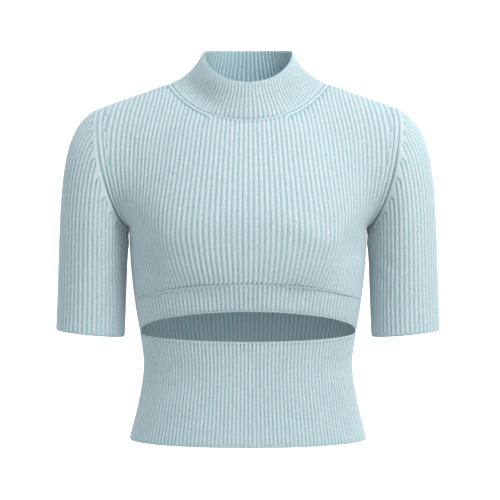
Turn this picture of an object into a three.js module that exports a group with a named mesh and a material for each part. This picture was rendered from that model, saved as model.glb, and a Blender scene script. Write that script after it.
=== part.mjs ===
// A cropped rib-knit top, filled out as if worn: mock neck, half sleeves, and a slit across the
// front between an arched under-bust band and a waist panel that flares to the hem.
// Millimetres, +Z up. +X is the wearer's left and the front faces -Y. The origin lies midway
// between the two points where the collar meets the shoulders, which is where the top hangs.
// Each knitted piece is one wall of cloth, with its ribs raised on the outside only.
import * as THREE from "three";

// Cloth
const COTTON = { colour: 0xb6d3db, roughness: 0.92 };
const RIB_RAISE = 1.2;
const CLOTH_UNDER_GROOVE = 1.6;
const WALL = RIB_RAISE + CLOTH_UNDER_GROOVE;
const SEAM_GAP = 0.5;
const HALF_GAP = SEAM_GAP / 2;
// Where two pieces meet at a fold, the cut edge is deeper than the wall by at most this.
const DEEPEST_MITRE = 1.35;

// Ribs across each piece, each a groove column and a crown column on the outer face. The plain
// inner face has a column to so many outer ones, and more of them round half of the neck.
const COLUMNS_PER_RIB = 2;
const RIBS = { front: 66, waist: 76, back: 60, sleeve: 48, collarFront: 42, collarBack: 36 };
const INNER_STEP = { body: 6, waist: 8, sleeve: 4, collar: 4 };
const INNER_ROUND_HALF_NECK = 11;

// Shoulders, neck and underarm
const NECK_HALF_WIDTH = 95;
const SHOULDER_HALF_WIDTH = 180;
const SHOULDER_DROP = 30;
const SHOULDER_Y = 8;
const UNDERARM_Z = -178;

// Edges that run round the body: height at the side seams, and rise or fall to the centre.
const BAND_SEAM = { sideZ: -268, centreRise: 23, fall: 1.4 };
const SLIT_TOP = { sideZ: -305, centreRise: 29.5, fall: 1 };
const SLIT_BOTTOM = { sideZ: -305, centreRise: -7.6, fall: 1 };

// Sections of the body from above the underarm to the hem. Squareness 2 is an ellipse.
const SECTIONS = [
  { z: -140, halfWidth: 145.5, front: 110, back: 95, squareness: 2.3 },
  { z: -178, halfWidth: 145, front: 116, back: 93, squareness: 2.3 },
  { z: -223, halfWidth: 142.8, front: 113, back: 86, squareness: 2.3 },
  { z: -268, halfWidth: 137.6, front: 101, back: 77, squareness: 2.25 },
  { z: -305, halfWidth: 131.6, front: 90, back: 70, squareness: 2.2 },
  { z: -344, halfWidth: 127, front: 86, back: 67, squareness: 2.15 },
  { z: -388, halfWidth: 133, front: 88, back: 74, squareness: 2.1 },
  { z: -434, halfWidth: 144.5, front: 92, back: 84, squareness: 2 },
];

// The two halves of the upper body. A rib leaves the underarm level upward for riseReach and
// bends over to the ridge of the shoulder by way of its approach. The neck is cut out of that
// shape, so its approach and ridge at the centre lie in the open neck. The armhole is one
// curve, which leaves the underarm by armholeLow and comes to the shoulder by armholeHigh.
const FRONT = {
  side: -1,
  columns: RIBS.front,
  neckColumns: 35,
  neckDepth: 66,
  riseReach: 50,
  centreApproach: { y: -51, z: -26 },
  neckSideApproach: { y: -40, z: -36 },
  armholeLow: new THREE.Vector3(23, -60, 15),
  armholeHigh: new THREE.Vector3(-9, 66, 24),
};
const BACK = {
  side: 1,
  columns: RIBS.back,
  neckColumns: 32,
  neckDepth: 42,
  riseReach: 60,
  centreApproach: { y: 62, z: 36 },
  neckSideApproach: { y: 63, z: -10 },
  armholeLow: new THREE.Vector3(20, 58, 15),
  armholeHigh: new THREE.Vector3(-7, -60, 24),
};
const RIDGE_AT_CENTRE = 20;
// Ribs beyond this share of the half width bend towards the line of the armhole.
const ARMHOLE_INFLUENCE = 0.55;

// Rows of points, as heights at the side seams. Above the underarm they close up towards it.
const WAIST_ROWS = [-434, -391, -348, -305];
const CHEST_ROWS = [-268, -223, -190, UNDERARM_Z];
const ARMHOLE_ROWS = 8;
const armholeShare = (step) => (step / ARMHOLE_ROWS) ** 1.2;

// Sleeve, from the cuff up. Turn 0 is the shoulder side, a quarter the front, a half the
// underarm and three quarters the back. The cloth leaves the armhole in the direction of
// out, along and up, and keeps it for its reach. It keeps the arm's line for cuffReach.
const CUFF = { x: 192.5, y: 3, z: -305.5, halfWidth: 41.7, halfDepth: 49, outerRise: 4.2 };
const ARM_LINE = new THREE.Vector3(-0.045, 0, 1);
const CAP = [
  { turn: 0, out: 0.95, along: 0, up: -0.33, reach: 58, cuffReach: 160 },
  { turn: 0.25, out: 0.42, along: -0.3, up: -0.86, reach: 42, cuffReach: 95 },
  { turn: 0.5, out: 0.04, along: 0, up: -1, reach: 26, cuffReach: 45 },
  { turn: 0.75, out: 0.42, along: 0.3, up: -0.86, reach: 42, cuffReach: 95 },
];
const SLEEVE_ROWS = [0, 0.25, 0.48, 0.66, 0.8, 0.91, 1];

// Collar, from the neck seam up. Lean is how far the cloth goes inward for each unit up, at the
// seam and at the top edge. The front ribs fan out, closer than their mean at the centre.
const COLLAR_TOP = { y: -5, halfWidth: 55.5, halfDepth: 49, sideZ: 34.5, tilt: 25, dip: 19 };
const COLLAR_SIDE_ROUNDING = 0.15;
const COLLAR_LEAN = { seamCentre: 0.1, seamSide: 2.1, topCentre: 0.08, topSide: 0.45 };
const COLLAR_REACH = 20;
const COLLAR_ROWS = [0, 0.35, 0.7, 1];
const COLLAR_FRONT_CLOSENESS = 0.88;

const { lerp, clamp } = THREE.MathUtils;
const vector = (x, y, z) => new THREE.Vector3(x, y, z);
const mirrored = (v) => vector(-v.x, v.y, v.z);

// One column of a table at height z, on a smooth curve through its rows.
function smoothColumn(rows, name, z) {
  const below = rows.findIndex((row) => row.z <= z);
  const i = clamp(below < 0 ? rows.length - 1 : below, 1, rows.length - 1);
  const slopeAt = (k) => {
    const before = rows[Math.max(k - 1, 0)];
    const after = rows[Math.min(k + 1, rows.length - 1)];
    return (after[name] - before[name]) / (after.z - before.z);
  };
  const span = rows[i].z - rows[i - 1].z;
  const t = (z - rows[i - 1].z) / span;
  return (
    (2 * t ** 3 - 3 * t ** 2 + 1) * rows[i - 1][name] +
    (t ** 3 - 2 * t ** 2 + t) * span * slopeAt(i - 1) +
    (3 * t ** 2 - 2 * t ** 3) * rows[i][name] +
    (t ** 3 - t ** 2) * span * slopeAt(i)
  );
}

// Where a share of a polyline's length falls: in which interval, and how far along it.
function locate(points, share) {
  const lengths = [0];
  for (let i = 1; i < points.length; i++) {
    lengths.push(lengths[i - 1] + points[i].distanceTo(points[i - 1]));
  }
  const wanted = share * lengths.at(-1);
  const i = clamp(lengths.findLastIndex((length) => length <= wanted), 0, points.length - 2);
  return { i, t: (wanted - lengths[i]) / (lengths[i + 1] - lengths[i]) };
}

function alongLine(points, share) {
  const { i, t } = locate(points, share);
  return points[i].clone().lerp(points[i + 1], t);
}

// The body's section at height z, a quarter of it from the centre to the side seam.
const QUARTER_STEPS = 64;
const quarterSections = new Map();

function quarterSection(z, side) {
  const key = `${z} ${side}`;
  if (quarterSections.has(key)) return quarterSections.get(key);
  const halfWidth = smoothColumn(SECTIONS, "halfWidth", z);
  const depth = smoothColumn(SECTIONS, side < 0 ? "front" : "back", z);
  const power = 2 / smoothColumn(SECTIONS, "squareness", z);
  const points = [];
  for (let i = 0; i <= QUARTER_STEPS; i++) {
    const angle = (i / QUARTER_STEPS) * (Math.PI / 2);
    const forward = i === QUARTER_STEPS ? 0 : Math.cos(angle) ** power;
    points.push(new THREE.Vector2(halfWidth * Math.sin(angle) ** power, depth * forward));
  }
  quarterSections.set(key, points);
  return points;
}

// Share s is 0 at the centre and 1 or -1 at a side seam, spaced evenly along the cloth.
function sectionPoint(half, s, z) {
  const p = alongLine(quarterSection(z, half.side), Math.abs(s));
  return vector(Math.sign(s) * p.x, half.side * p.y, z);
}

// How far round half of the neck the rib at share s ends, from 0 at the centre to 1 at the
// side, and how far out along the shoulder, from 0 at the neck to 1 at the tip.
function endOf(half, s) {
  const neckShare = half.neckColumns / half.columns;
  const around = Math.min(Math.abs(s) / neckShare, 1);
  return { around, outward: Math.max(Math.abs(s) - neckShare, 0) / (1 - neckShare) };
}

// Whole line of the rib at share s >= 0, from underarm level up to the ridge of the shoulder.
function ribLine(half, s) {
  const { around, outward } = endOf(half, s);
  const x = NECK_HALF_WIDTH * around + (SHOULDER_HALF_WIDTH - NECK_HALF_WIDTH) * outward;
  const central = Math.cos((around * Math.PI) / 2) ** 1.2;
  const start = sectionPoint(half, s, UNDERARM_Z);
  const rise = sectionPoint(half, s, UNDERARM_Z + 1).sub(start).setLength(half.riseReach);
  const near = Math.max(s - ARMHOLE_INFLUENCE, 0) / (1 - ARMHOLE_INFLUENCE);
  rise.lerp(half.armholeLow, near ** 2).add(start);
  const ridge = vector(x, SHOULDER_Y, RIDGE_AT_CENTRE * central - SHOULDER_DROP * outward);
  const approach = (name) => lerp(half.neckSideApproach[name], half.centreApproach[name], central);
  const bend = vector(x, approach("y"), approach("z"));
  const tip = vector(SHOULDER_HALF_WIDTH, SHOULDER_Y, -SHOULDER_DROP).sub(half.armholeHigh);
  if (outward > 0) bend.setX(NECK_HALF_WIDTH).lerp(tip, outward);
  return new THREE.CubicBezierCurve3(start, rise, bend, ridge);
}

// Share of a rib's line at which the neck seam, an ellipse in plan, cuts it.
function neckCut(half, line, around) {
  const seamY = SHOULDER_Y + half.side * half.neckDepth * Math.sqrt(1 - around ** 2);
  let [low, high] = [0, 1];
  while (high - low > 1e-7) {
    const middle = (low + high) / 2;
    if (half.side * (line.getPoint(middle).y - seamY) > 0) low = middle;
    else high = middle;
  }
  return low;
}

// The body above the underarm: t is 0 at underarm level and 1 at the neck or shoulder seam.
function upperPoint(half, s, t) {
  const a = Math.abs(s);
  const line = ribLine(half, a);
  const { around } = endOf(half, a);
  const point = line.getPoint(around < 1 ? t * neckCut(half, line, around) : t);
  return s < 0 ? mirrored(point) : point;
}

// The whole body by level: a height up to the underarm, and from there UPPER_LEVELS more to
// the neck or shoulder seam.
const UPPER_LEVELS = 100;
const TOP_LEVEL = UNDERARM_Z + UPPER_LEVELS;

function bodyPoint(half, s, level) {
  if (level <= UNDERARM_Z) return sectionPoint(half, s, level);
  return upperPoint(half, s, (level - UNDERARM_Z) / UPPER_LEVELS);
}

function bodyNormal(half, s, level) {
  const at = (s, level) => bodyPoint(half, clamp(s, -1, 1), Math.min(level, TOP_LEVEL));
  const across = at(s + 0.004, level).sub(at(s - 0.004, level));
  const up = at(s, level + 0.5).sub(at(s, level - 0.5));
  return across.cross(up).multiplyScalar(-half.side).normalize();
}

// Sleeve on the wearer's left. v is 0 at the cuff and 1 at the armhole.
function capValue(turn, name) {
  let value = 0;
  for (const row of CAP) {
    const facing = Math.max(Math.cos((turn - row.turn) * 2 * Math.PI), 0);
    value += row[name] * facing ** 2;
  }
  return value;
}

// u starts under the arm and goes up the front, over the shoulder and down the back.
function sleevePoint(u, v) {
  const turn = (((0.5 - u) % 1) + 1) % 1;
  const angle = turn * 2 * Math.PI;
  const cuff = vector(
    CUFF.x + CUFF.halfWidth * Math.cos(angle),
    CUFF.y - CUFF.halfDepth * Math.sin(angle),
    CUFF.z + CUFF.outerRise * Math.cos(angle),
  );
  const hole = upperPoint(turn <= 0.5 ? FRONT : BACK, 1, Math.abs(1 - 2 * turn));
  const leave = vector(capValue(turn, "out"), capValue(turn, "along"), capValue(turn, "up"));
  leave.setLength(capValue(turn, "reach")).add(hole);
  const up = ARM_LINE.clone().setLength(capValue(turn, "cuffReach")).add(cuff);
  return new THREE.CubicBezierCurve3(cuff, up, leave, hole).getPoint(v);
}

// Direction, with its reach, of the collar's cloth: inward by lean for each unit up.
function collarDirection(angle, leanCentre, leanSide) {
  const lean = lerp(leanCentre, leanSide, Math.sin(angle) ** 2);
  const inward = vector(-lean * Math.sin(angle), lean * Math.cos(angle), 0);
  return inward.setZ(1).setLength(COLLAR_REACH);
}

// Neck line of each half from its centre to the wearer's left, with what a seam needs to know:
// the way that the cloth passes through it, from the body up into the collar.
function neckLine(half) {
  const line = [];
  for (let c = 0; c <= half.neckColumns; c++) {
    const point = upperPoint(half, c / half.columns, 1);
    const coming = upperPoint(half, c / half.columns, 0.99);
    const quarter = (c / half.neckColumns) * (Math.PI / 2);
    const angle = half === FRONT ? quarter : Math.PI - quarter;
    const { seamCentre, seamSide } = COLLAR_LEAN;
    const onward = collarDirection(angle, seamCentre, seamSide).normalize();
    line.push({ point, through: point.clone().sub(coming).normalize().add(onward) });
  }
  return line;
}
const frontNeck = neckLine(FRONT);
const backNeck = neckLine(BACK).reverse();
const pointsOf = (line) => line.map(({ point }) => point);

// Place on the neck at a turn from 0 at the front centre to 0.5 at the back centre.
function onNeck(turn) {
  const inFront = turn <= 0.25;
  const q = inFront ? turn * 4 : turn * 4 - 1;
  const fanned = q * (COLLAR_FRONT_CLOSENESS + (1 - COLLAR_FRONT_CLOSENESS) * q * q);
  const line = inFront ? frontNeck : backNeck;
  const { i, t } = locate(pointsOf(line), inFront ? fanned : q);
  const before = inFront ? 0 : frontNeck.length - 1;
  return { at: before + i + t, point: line[i].point.clone().lerp(line[i + 1].point, t) };
}

// u is 0 at the front centre and goes by the wearer's left. v is 0 at the seam and 1 at the top.
function collarPoint(u, v) {
  const turn = ((u % 1) + 1) % 1;
  const left = Math.min(turn, 1 - turn);
  const base = onNeck(left).point;
  const angle = left * 2 * Math.PI;
  const backward = -Math.cos(angle);
  const fromSide = Math.hypot(backward, COLLAR_SIDE_ROUNDING) - COLLAR_SIDE_ROUNDING;
  const top = vector(
    COLLAR_TOP.halfWidth * Math.sin(angle),
    COLLAR_TOP.y + COLLAR_TOP.halfDepth * backward,
    COLLAR_TOP.sideZ + COLLAR_TOP.tilt * backward - COLLAR_TOP.dip * fromSide,
  );
  const leave = collarDirection(angle, COLLAR_LEAN.seamCentre, COLLAR_LEAN.seamSide);
  const arrive = collarDirection(angle, COLLAR_LEAN.topCentre, COLLAR_LEAN.topSide);
  const curve = new THREE.CubicBezierCurve3(base, leave.add(base), top.clone().sub(arrive), top);
  return turn <= 0.5 ? curve.getPoint(v) : mirrored(curve.getPoint(v));
}

// Outward normal of a sleeve or collar, whose u goes round and v goes up.
function roundNormal(surface, u, v) {
  const around = surface(u + 0.001, v).sub(surface(u - 0.001, v));
  const up = surface(u, Math.min(v + 0.002, 1)).sub(surface(u, Math.max(v - 0.002, 0)));
  return around.cross(up).normalize();
}

// A seam is a list of places, each with its point, the outward normal that both pieces share
// there, and the direction across it, out of the body into the sleeve or collar. Both are
// longer than 1 where the cloth folds, so the cut is deeper and the gap wider there. Seams are
// made on the wearer's left. The right is their mirror image.
function placeOn(seam, at) {
  const i = clamp(Math.floor(at), 0, seam.length - 2);
  const mix = (name) => seam[i][name].clone().lerp(seam[i + 1][name], at - i);
  return { point: mix("point"), normal: mix("normal"), across: mix("across") };
}

function mirroredPlace(place) {
  return {
    point: mirrored(place.point),
    normal: mirrored(place.normal),
    across: mirrored(place.across),
  };
}

function makeArmholeSeam() {
  const count = 2 * ARMHOLE_ROWS;
  const turns = Array.from({ length: count + 1 }, (_, k) =>
    k <= ARMHOLE_ROWS ? armholeShare(k) / 2 : 1 - armholeShare(count - k) / 2,
  );
  const points = turns.map((u) => sleevePoint(u, 1));
  return turns.map((u, k) => {
    if (k % count === 0) {
      const normal = vector(0, 0, -DEEPEST_MITRE);
      return { point: points[k], normal, across: vector(DEEPEST_MITRE, 0, 0) };
    }
    const level = lerp(TOP_LEVEL, UNDERARM_Z, Math.abs(1 - 2 * u));
    const ofBody = bodyNormal(u <= 0.5 ? FRONT : BACK, 1, level);
    const normal = ofBody.clone().add(roundNormal(sleevePoint, u, 1)).normalize();
    const mitre = Math.min(1 / Math.max(normal.dot(ofBody), 1e-3), DEEPEST_MITRE);
    const along = points[k + 1].clone().sub(points[k - 1]);
    const across = along.cross(normal).setLength(mitre);
    return { point: points[k], normal: normal.multiplyScalar(mitre), across };
  });
}

function makeNeckSeam() {
  const line = [...frontNeck, ...backNeck.slice(1)];
  return line.map(({ point, through }, k) => {
    const before = k === 0 ? mirrored(line[1].point) : line[k - 1].point;
    const after = k === line.length - 1 ? mirrored(line.at(-2).point) : line[k + 1].point;
    const along = after.clone().sub(before);
    const normal = along.clone().cross(through).normalize();
    return { point, normal, across: normal.clone().cross(along).normalize() };
  });
}
const armholeSeam = makeArmholeSeam();
const neckSeam = makeNeckSeam();

// One closed wall of cloth from a grid of places. Rows run across the ribs from the bottom up,
// and each has the same columns. Even columns are grooves and odd ones crowns, and innerAt
// lists the columns that the inner face has too. A round piece closes on itself.
function clothWall(rows, innerAt, round) {
  const columns = rows[0].length - (round ? 0 : 1);
  const innerColumns = innerAt.length - (round ? 0 : 1);
  const positions = [];
  const add = (place, depth) => {
    const p = place.point.clone().addScaledVector(place.normal, -depth);
    return positions.push(p.x, p.y, p.z) / 3 - 1;
  };
  const outer = rows.map((row) => row.map((place, c) => add(place, c % 2 ? 0 : RIB_RAISE)));
  const inner = rows.map((row) => innerAt.map((c) => add(row[c], WALL)));
  const next = (c, count) => (round ? (c + 1) % count : c + 1);
  const faces = [];
  const quad = (a, b, c, d) => faces.push(a, b, c, a, c, d);
  const last = rows.length - 1;
  for (let r = 0; r < last; r++) {
    const up = r + 1;
    for (let c = 0; c < columns; c++) {
      const n = next(c, columns);
      quad(outer[r][c], outer[r][n], outer[up][n], outer[up][c]);
    }
    for (let c = 0; c < innerColumns; c++) {
      const n = next(c, innerColumns);
      quad(inner[r][n], inner[r][c], inner[up][c], inner[up][n]);
    }
    if (!round) {
      quad(inner[r][0], outer[r][0], outer[up][0], inner[up][0]);
      quad(outer[r].at(-1), inner[r].at(-1), inner[up].at(-1), outer[up].at(-1));
    }
  }
  // The cut edges at the bottom and the top, where each inner column spans several outer ones.
  for (const r of [0, last]) {
    const face = (a, b, c) => (r ? faces.push(a, b, c) : faces.push(a, c, b));
    for (let i = 0; i < innerColumns; i++) {
      const start = innerAt[i];
      const end = innerAt[i + 1] ?? columns;
      const middle = Math.floor((start + end) / 2);
      const left = inner[r][i];
      const right = inner[r][next(i, innerColumns)];
      for (let c = start; c < end; c++) {
        face(outer[r][c], outer[r][next(c, columns)], c < middle ? left : right);
      }
      face(left, outer[r][middle], right);
    }
  }
  const geometry = new THREE.BufferGeometry();
  geometry.setAttribute("position", new THREE.Float32BufferAttribute(positions, 3));
  geometry.setIndex(faces);
  geometry.computeVertexNormals();
  return geometry;
}

function clothMesh(name, rows, innerAt, round = false) {
  const material = new THREE.MeshStandardMaterial({
    color: COTTON.colour,
    roughness: COTTON.roughness,
    metalness: 0,
  });
  const mesh = new THREE.Mesh(clothWall(rows, innerAt, round), material);
  mesh.name = name;
  return mesh;
}

const evenly = (columns, step) => Array.from({ length: columns / step }, (_, i) => i * step);

// Inner columns of a panel that reaches the neck: evenly spaced round the neck and along the
// shoulder, on both sides of the centre.
function innerByNeck({ columns, neckColumns }) {
  const offsets = new Set([0]);
  for (let j = 1; j <= INNER_ROUND_HALF_NECK; j++) {
    const angle = (j / INNER_ROUND_HALF_NECK) * (Math.PI / 2);
    offsets.add(Math.round(neckColumns * Math.sin(angle)));
  }
  const onShoulder = Math.round((columns - neckColumns) / INNER_STEP.body);
  for (let j = 1; j <= onShoulder; j++) {
    offsets.add(Math.round(lerp(neckColumns, columns, j / onShoulder)));
  }
  const left = [...offsets];
  const right = left.slice(1).reverse();
  return [...right.map((offset) => columns - offset), ...left.map((offset) => columns + offset)];
}

// Rows of a body panel. Each has its level at share s, its level at the side seam, and its step
// up the armhole. A row at an edge is drawn back from it by half of the gap.
const levelRow = (level) => ({ side: level, at: () => level, step: 0 });
const armholeRow = (step) => ({
  ...levelRow(UNDERARM_Z + UPPER_LEVELS * armholeShare(step)),
  step,
});
const edgeRow = (edge, drawnUp) => ({
  side: edge.sideZ + drawnUp,
  at: (s) => edge.sideZ + edge.centreRise * (1 - s * s) ** edge.fall + drawnUp,
});
// A row a share of the way from one edge up to another.
const betweenRow = (low, high, share) => ({
  side: lerp(low.side, high.side, share),
  at: (s) => lerp(low.at(s), high.at(s), share),
});

function pullBack(place, seamPlace) {
  place.normal.copy(seamPlace.normal);
  place.point.addScaledVector(seamPlace.across, -HALF_GAP);
}

// The side edge of a panel, at the side seam or, above the underarm, at the armhole.
function joinSide(place, half, sign, row) {
  if (row.side < UNDERARM_Z) {
    place.normal.setY(0).normalize();
  } else {
    const seamPlace = armholeSeam[half === FRONT ? row.step : 2 * ARMHOLE_ROWS - row.step];
    pullBack(place, sign > 0 ? seamPlace : mirroredPlace(seamPlace));
  }
  if (row.step % ARMHOLE_ROWS === 0) place.point.y += half.side * HALF_GAP;
}

// The top edge of a panel, at the neck seam and along the shoulder.
function joinTop(place, half, s) {
  const column = Math.round(Math.abs(s) * half.columns);
  if (column <= half.neckColumns) {
    const seamPlace = neckSeam[half === FRONT ? column : neckSeam.length - 1 - column];
    pullBack(place, s >= 0 ? seamPlace : mirroredPlace(seamPlace));
  }
  if (column >= half.neckColumns && column < half.columns) {
    place.point.y += half.side * HALF_GAP;
    if (column > half.neckColumns) {
      const other = half === FRONT ? BACK : FRONT;
      place.normal.add(bodyNormal(other, s, TOP_LEVEL)).normalize();
    }
  }
}

function bodyPanel(name, half, ribs, rows, innerAt) {
  const places = rows.map((row) => {
    const line = [];
    for (let c = 0; c <= ribs * COLUMNS_PER_RIB; c++) {
      const s = -half.side * ((2 * c) / (ribs * COLUMNS_PER_RIB) - 1);
      const level = row.at(s);
      const place = { point: bodyPoint(half, s, level), normal: bodyNormal(half, s, level) };
      if (row.step === ARMHOLE_ROWS) joinTop(place, half, s);
      if (Math.abs(s) === 1) joinSide(place, half, s, row);
      line.push(place);
    }
    return line;
  });
  return clothMesh(name, places, innerAt);
}

const chestRows = CHEST_ROWS.slice(1).map(levelRow);
const upperRows = Array.from({ length: ARMHOLE_ROWS }, (_, k) => armholeRow(k + 1));

function makeFront() {
  const rows = [edgeRow(BAND_SEAM, HALF_GAP), ...chestRows, ...upperRows];
  return bodyPanel("front", FRONT, RIBS.front, rows, innerByNeck(FRONT));
}

function makeUnderbustBand() {
  const rows = [edgeRow(SLIT_TOP, HALF_GAP), edgeRow(BAND_SEAM, -HALF_GAP)];
  const columns = RIBS.front * COLUMNS_PER_RIB;
  const innerAt = [...evenly(columns, INNER_STEP.body), columns];
  return bodyPanel("underbust_band", FRONT, RIBS.front, rows, innerAt);
}

function makeLowerFront() {
  const hem = levelRow(WAIST_ROWS[0]);
  const slit = edgeRow(SLIT_BOTTOM, -HALF_GAP);
  const heights = WAIST_ROWS.map((z) => (z - WAIST_ROWS[0]) / (WAIST_ROWS.at(-1) - WAIST_ROWS[0]));
  const rows = heights.map((share) => betweenRow(hem, slit, share));
  const columns = RIBS.waist * COLUMNS_PER_RIB;
  const innerAt = [...evenly(columns, INNER_STEP.waist), columns];
  return bodyPanel("lower_front", FRONT, RIBS.waist, rows, innerAt);
}

function makeBack() {
  const rows = [...WAIST_ROWS.map(levelRow), levelRow(CHEST_ROWS[0]), ...chestRows, ...upperRows];
  return bodyPanel("back", BACK, RIBS.back, rows, innerByNeck(BACK));
}

// Rows of a sleeve or collar. The row at seamV lies on the seam, drawn back from it by half of
// the gap.
function roundRows(surface, turns, rowsV, seamV, seamPlaceAt) {
  return rowsV.map((v) =>
    turns.map((u) => {
      if (v !== seamV) return { point: surface(u, v), normal: roundNormal(surface, u, v) };
      const place = seamPlaceAt(u);
      place.point.addScaledVector(place.across, HALF_GAP);
      return place;
    }),
  );
}

const onTheRight = ({ point, normal }) => ({ point: mirrored(point), normal: mirrored(normal) });

function makeSleeve(name, isLeft) {
  const columns = RIBS.sleeve * COLUMNS_PER_RIB;
  const turns = Array.from({ length: columns }, (_, c) => c / columns);
  const onArmhole = (u) => placeOn(armholeSeam, u * (armholeSeam.length - 1));
  const rows = roundRows(sleevePoint, turns, SLEEVE_ROWS, 1, onArmhole);
  const handed = isLeft
    ? rows
    : rows.map((row) => [row[0], ...row.slice(1).reverse()].map(onTheRight));
  return clothMesh(name, handed, evenly(columns, INNER_STEP.sleeve), true);
}

function makeCollar() {
  const front = RIBS.collarFront * (COLUMNS_PER_RIB / 2);
  const back = RIBS.collarBack * (COLUMNS_PER_RIB / 2);
  const turns = [front, back, back, front].flatMap((columns, quarter) =>
    Array.from({ length: columns }, (_, c) => (quarter + c / columns) / 4),
  );
  const onSeam = (u) => {
    const place = placeOn(neckSeam, onNeck(Math.min(u, 1 - u)).at);
    return u <= 0.5 ? place : mirroredPlace(place);
  };
  const rows = roundRows(collarPoint, turns, COLLAR_ROWS, 0, onSeam);
  return clothMesh("collar", rows, evenly(turns.length, INNER_STEP.collar), true);
}

const top = new THREE.Group();
top.add(
  makeFront(),
  makeUnderbustBand(),
  makeLowerFront(),
  makeBack(),
  makeSleeve("sleeve_left", true),
  makeSleeve("sleeve_right", false),
  makeCollar(),
);
export default top;
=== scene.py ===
# %% [markdown]
# # A rib-knit crop top in Blender
# The imported CAD model is the fixed frame. It has one plain wall of cloth for each knitted piece.
# This lesson replaces each wall by a finer one that has rounded ribs on both faces, shaped
# edges, seams, stitches and a knitted surface, and then lights the garment and places a camera.
# All shapes are worked out in millimetres and become metres when a mesh is made.

import bpy
import numpy as np
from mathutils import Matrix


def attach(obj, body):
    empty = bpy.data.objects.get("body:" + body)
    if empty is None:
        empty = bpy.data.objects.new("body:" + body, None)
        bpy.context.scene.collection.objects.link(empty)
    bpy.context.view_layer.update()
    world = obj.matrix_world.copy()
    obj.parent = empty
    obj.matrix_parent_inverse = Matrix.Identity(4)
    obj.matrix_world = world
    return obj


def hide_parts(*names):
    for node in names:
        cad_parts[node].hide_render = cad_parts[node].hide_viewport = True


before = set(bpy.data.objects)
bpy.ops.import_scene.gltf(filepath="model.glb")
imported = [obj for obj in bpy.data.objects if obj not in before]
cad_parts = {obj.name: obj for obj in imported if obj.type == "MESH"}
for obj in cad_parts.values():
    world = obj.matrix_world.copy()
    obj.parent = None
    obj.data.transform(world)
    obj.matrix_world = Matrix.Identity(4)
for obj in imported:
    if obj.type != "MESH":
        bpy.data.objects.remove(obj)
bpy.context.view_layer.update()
MM = 0.001
print("CAD nodes:", sorted(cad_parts))

# %% [markdown]
# ## The form that the ribs lie on
# A worn top has no flat places, so its form is given as sections of the body, one for each
# height, and as the lines that the ribs follow from the underarm up to the neck and shoulders.
# A grid could be sculpted by hand, but a rule keeps every rib continuous and both sides alike.

# %% Sections of the body
SECTIONS = {
    "z": np.array([-140, -178, -223, -268, -305, -344, -388, -434.0]),
    "half_width": np.array([145.5, 145, 142.8, 137.6, 131.6, 127, 133, 144.5]),
    "front": np.array([110, 116, 113, 101, 90, 86, 88, 92.0]),
    "back": np.array([95, 93, 86, 77, 70, 67, 74, 84.0]),
    "squareness": np.array([2.3, 2.3, 2.3, 2.25, 2.2, 2.15, 2.1, 2]),
}
UNDERARM_Z = -178
HEM_Z = -434


def section_value(name, z):
    """One column of the table at the heights z, on a smooth curve through its rows."""
    height, value = SECTIONS["z"], SECTIONS[name]
    last = len(height) - 1
    before = np.maximum(np.arange(last + 1) - 1, 0)
    after = np.minimum(np.arange(last + 1) + 1, last)
    slope = (value[after] - value[before]) / (height[after] - height[before])
    i = np.clip(np.searchsorted(-height, -z), 1, last)
    span = height[i] - height[i - 1]
    t = (z - height[i - 1]) / span
    low = (2 * t**3 - 3 * t**2 + 1) * value[i - 1] + (t**3 - 2 * t**2 + t) * span * slope[i - 1]
    high = (3 * t**2 - 2 * t**3) * value[i] + (t**3 - t**2) * span * slope[i]
    return low + high


def quarter_table(side):
    """Points of a quarter section at each millimetre of height and each even share of it."""
    z = np.arange(-440.0, -139.0)
    angle = np.linspace(0, np.pi / 2, 513)
    power = 2 / section_value("squareness", z)[:, None]
    wide = section_value("half_width", z)[:, None] * np.sin(angle) ** power
    deep = section_value(side, z)[:, None] * np.maximum(np.cos(angle), 0) ** power
    share = np.linspace(0, 1, 257)
    table = np.empty((len(z), len(share), 2))
    for row in range(len(z)):
        steps = np.hypot(np.diff(wide[row]), np.diff(deep[row]))
        length = np.concatenate([[0], np.cumsum(steps)])
        table[row, :, 0] = np.interp(share * length[-1], length, wide[row])
        table[row, :, 1] = np.interp(share * length[-1], length, deep[row])
    return table


QUARTERS = {-1: quarter_table("front"), 1: quarter_table("back")}


def section_point(side, s, z):
    """Share s is 0 at the centre and 1 or -1 at a side seam. Side is -1 in front, 1 behind."""
    s, z = np.broadcast_arrays(np.asarray(s, float), np.asarray(z, float))
    row = np.clip(z + 440, 0, 299.999)
    column = np.abs(s) * 256
    r, c = row.astype(int), np.minimum(column.astype(int), 255)
    fr, fc = (row - r)[..., None], (column - c)[..., None]
    table = QUARTERS[side]
    low = table[r, c] * (1 - fc) + table[r, c + 1] * fc
    high = table[r + 1, c] * (1 - fc) + table[r + 1, c + 1] * fc
    p = low * (1 - fr) + high * fr
    return np.stack([np.sign(s) * p[..., 0], side * p[..., 1], z], -1)


# %% Lines of the ribs above the underarm
NECK_HALF_WIDTH = 95
SHOULDER_HALF_WIDTH = 180
SHOULDER_DROP = 30
SHOULDER_Y = 8
RIDGE_AT_CENTRE = 20
ARMHOLE_INFLUENCE = 0.55
HALVES = {
    -1: {
        "ribs": 72,
        "neck_share": 0.53,
        "neck_depth": 66,
        "neck_roundness": 0.82,
        "rise": 50,
        "centre": (-51, -26),
        "neck_side": (-40, -36),
        "armhole_low": np.array([23, -60, 15.0]),
        "armhole_high": np.array([-9, 66, 24.0]),
    },
    1: {
        "ribs": 60,
        "neck_share": 0.533,
        "neck_depth": 42,
        "neck_roundness": 0.5,
        "rise": 60,
        "centre": (62, 36),
        "neck_side": (63, -10),
        "armhole_low": np.array([20, 58, 15.0]),
        "armhole_high": np.array([-7, -60, 24.0]),
    },
}


def lengths(v):
    return np.linalg.norm(v, axis=-1, keepdims=True)


def unit(v):
    return v / np.maximum(lengths(v), 1e-9)


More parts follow.
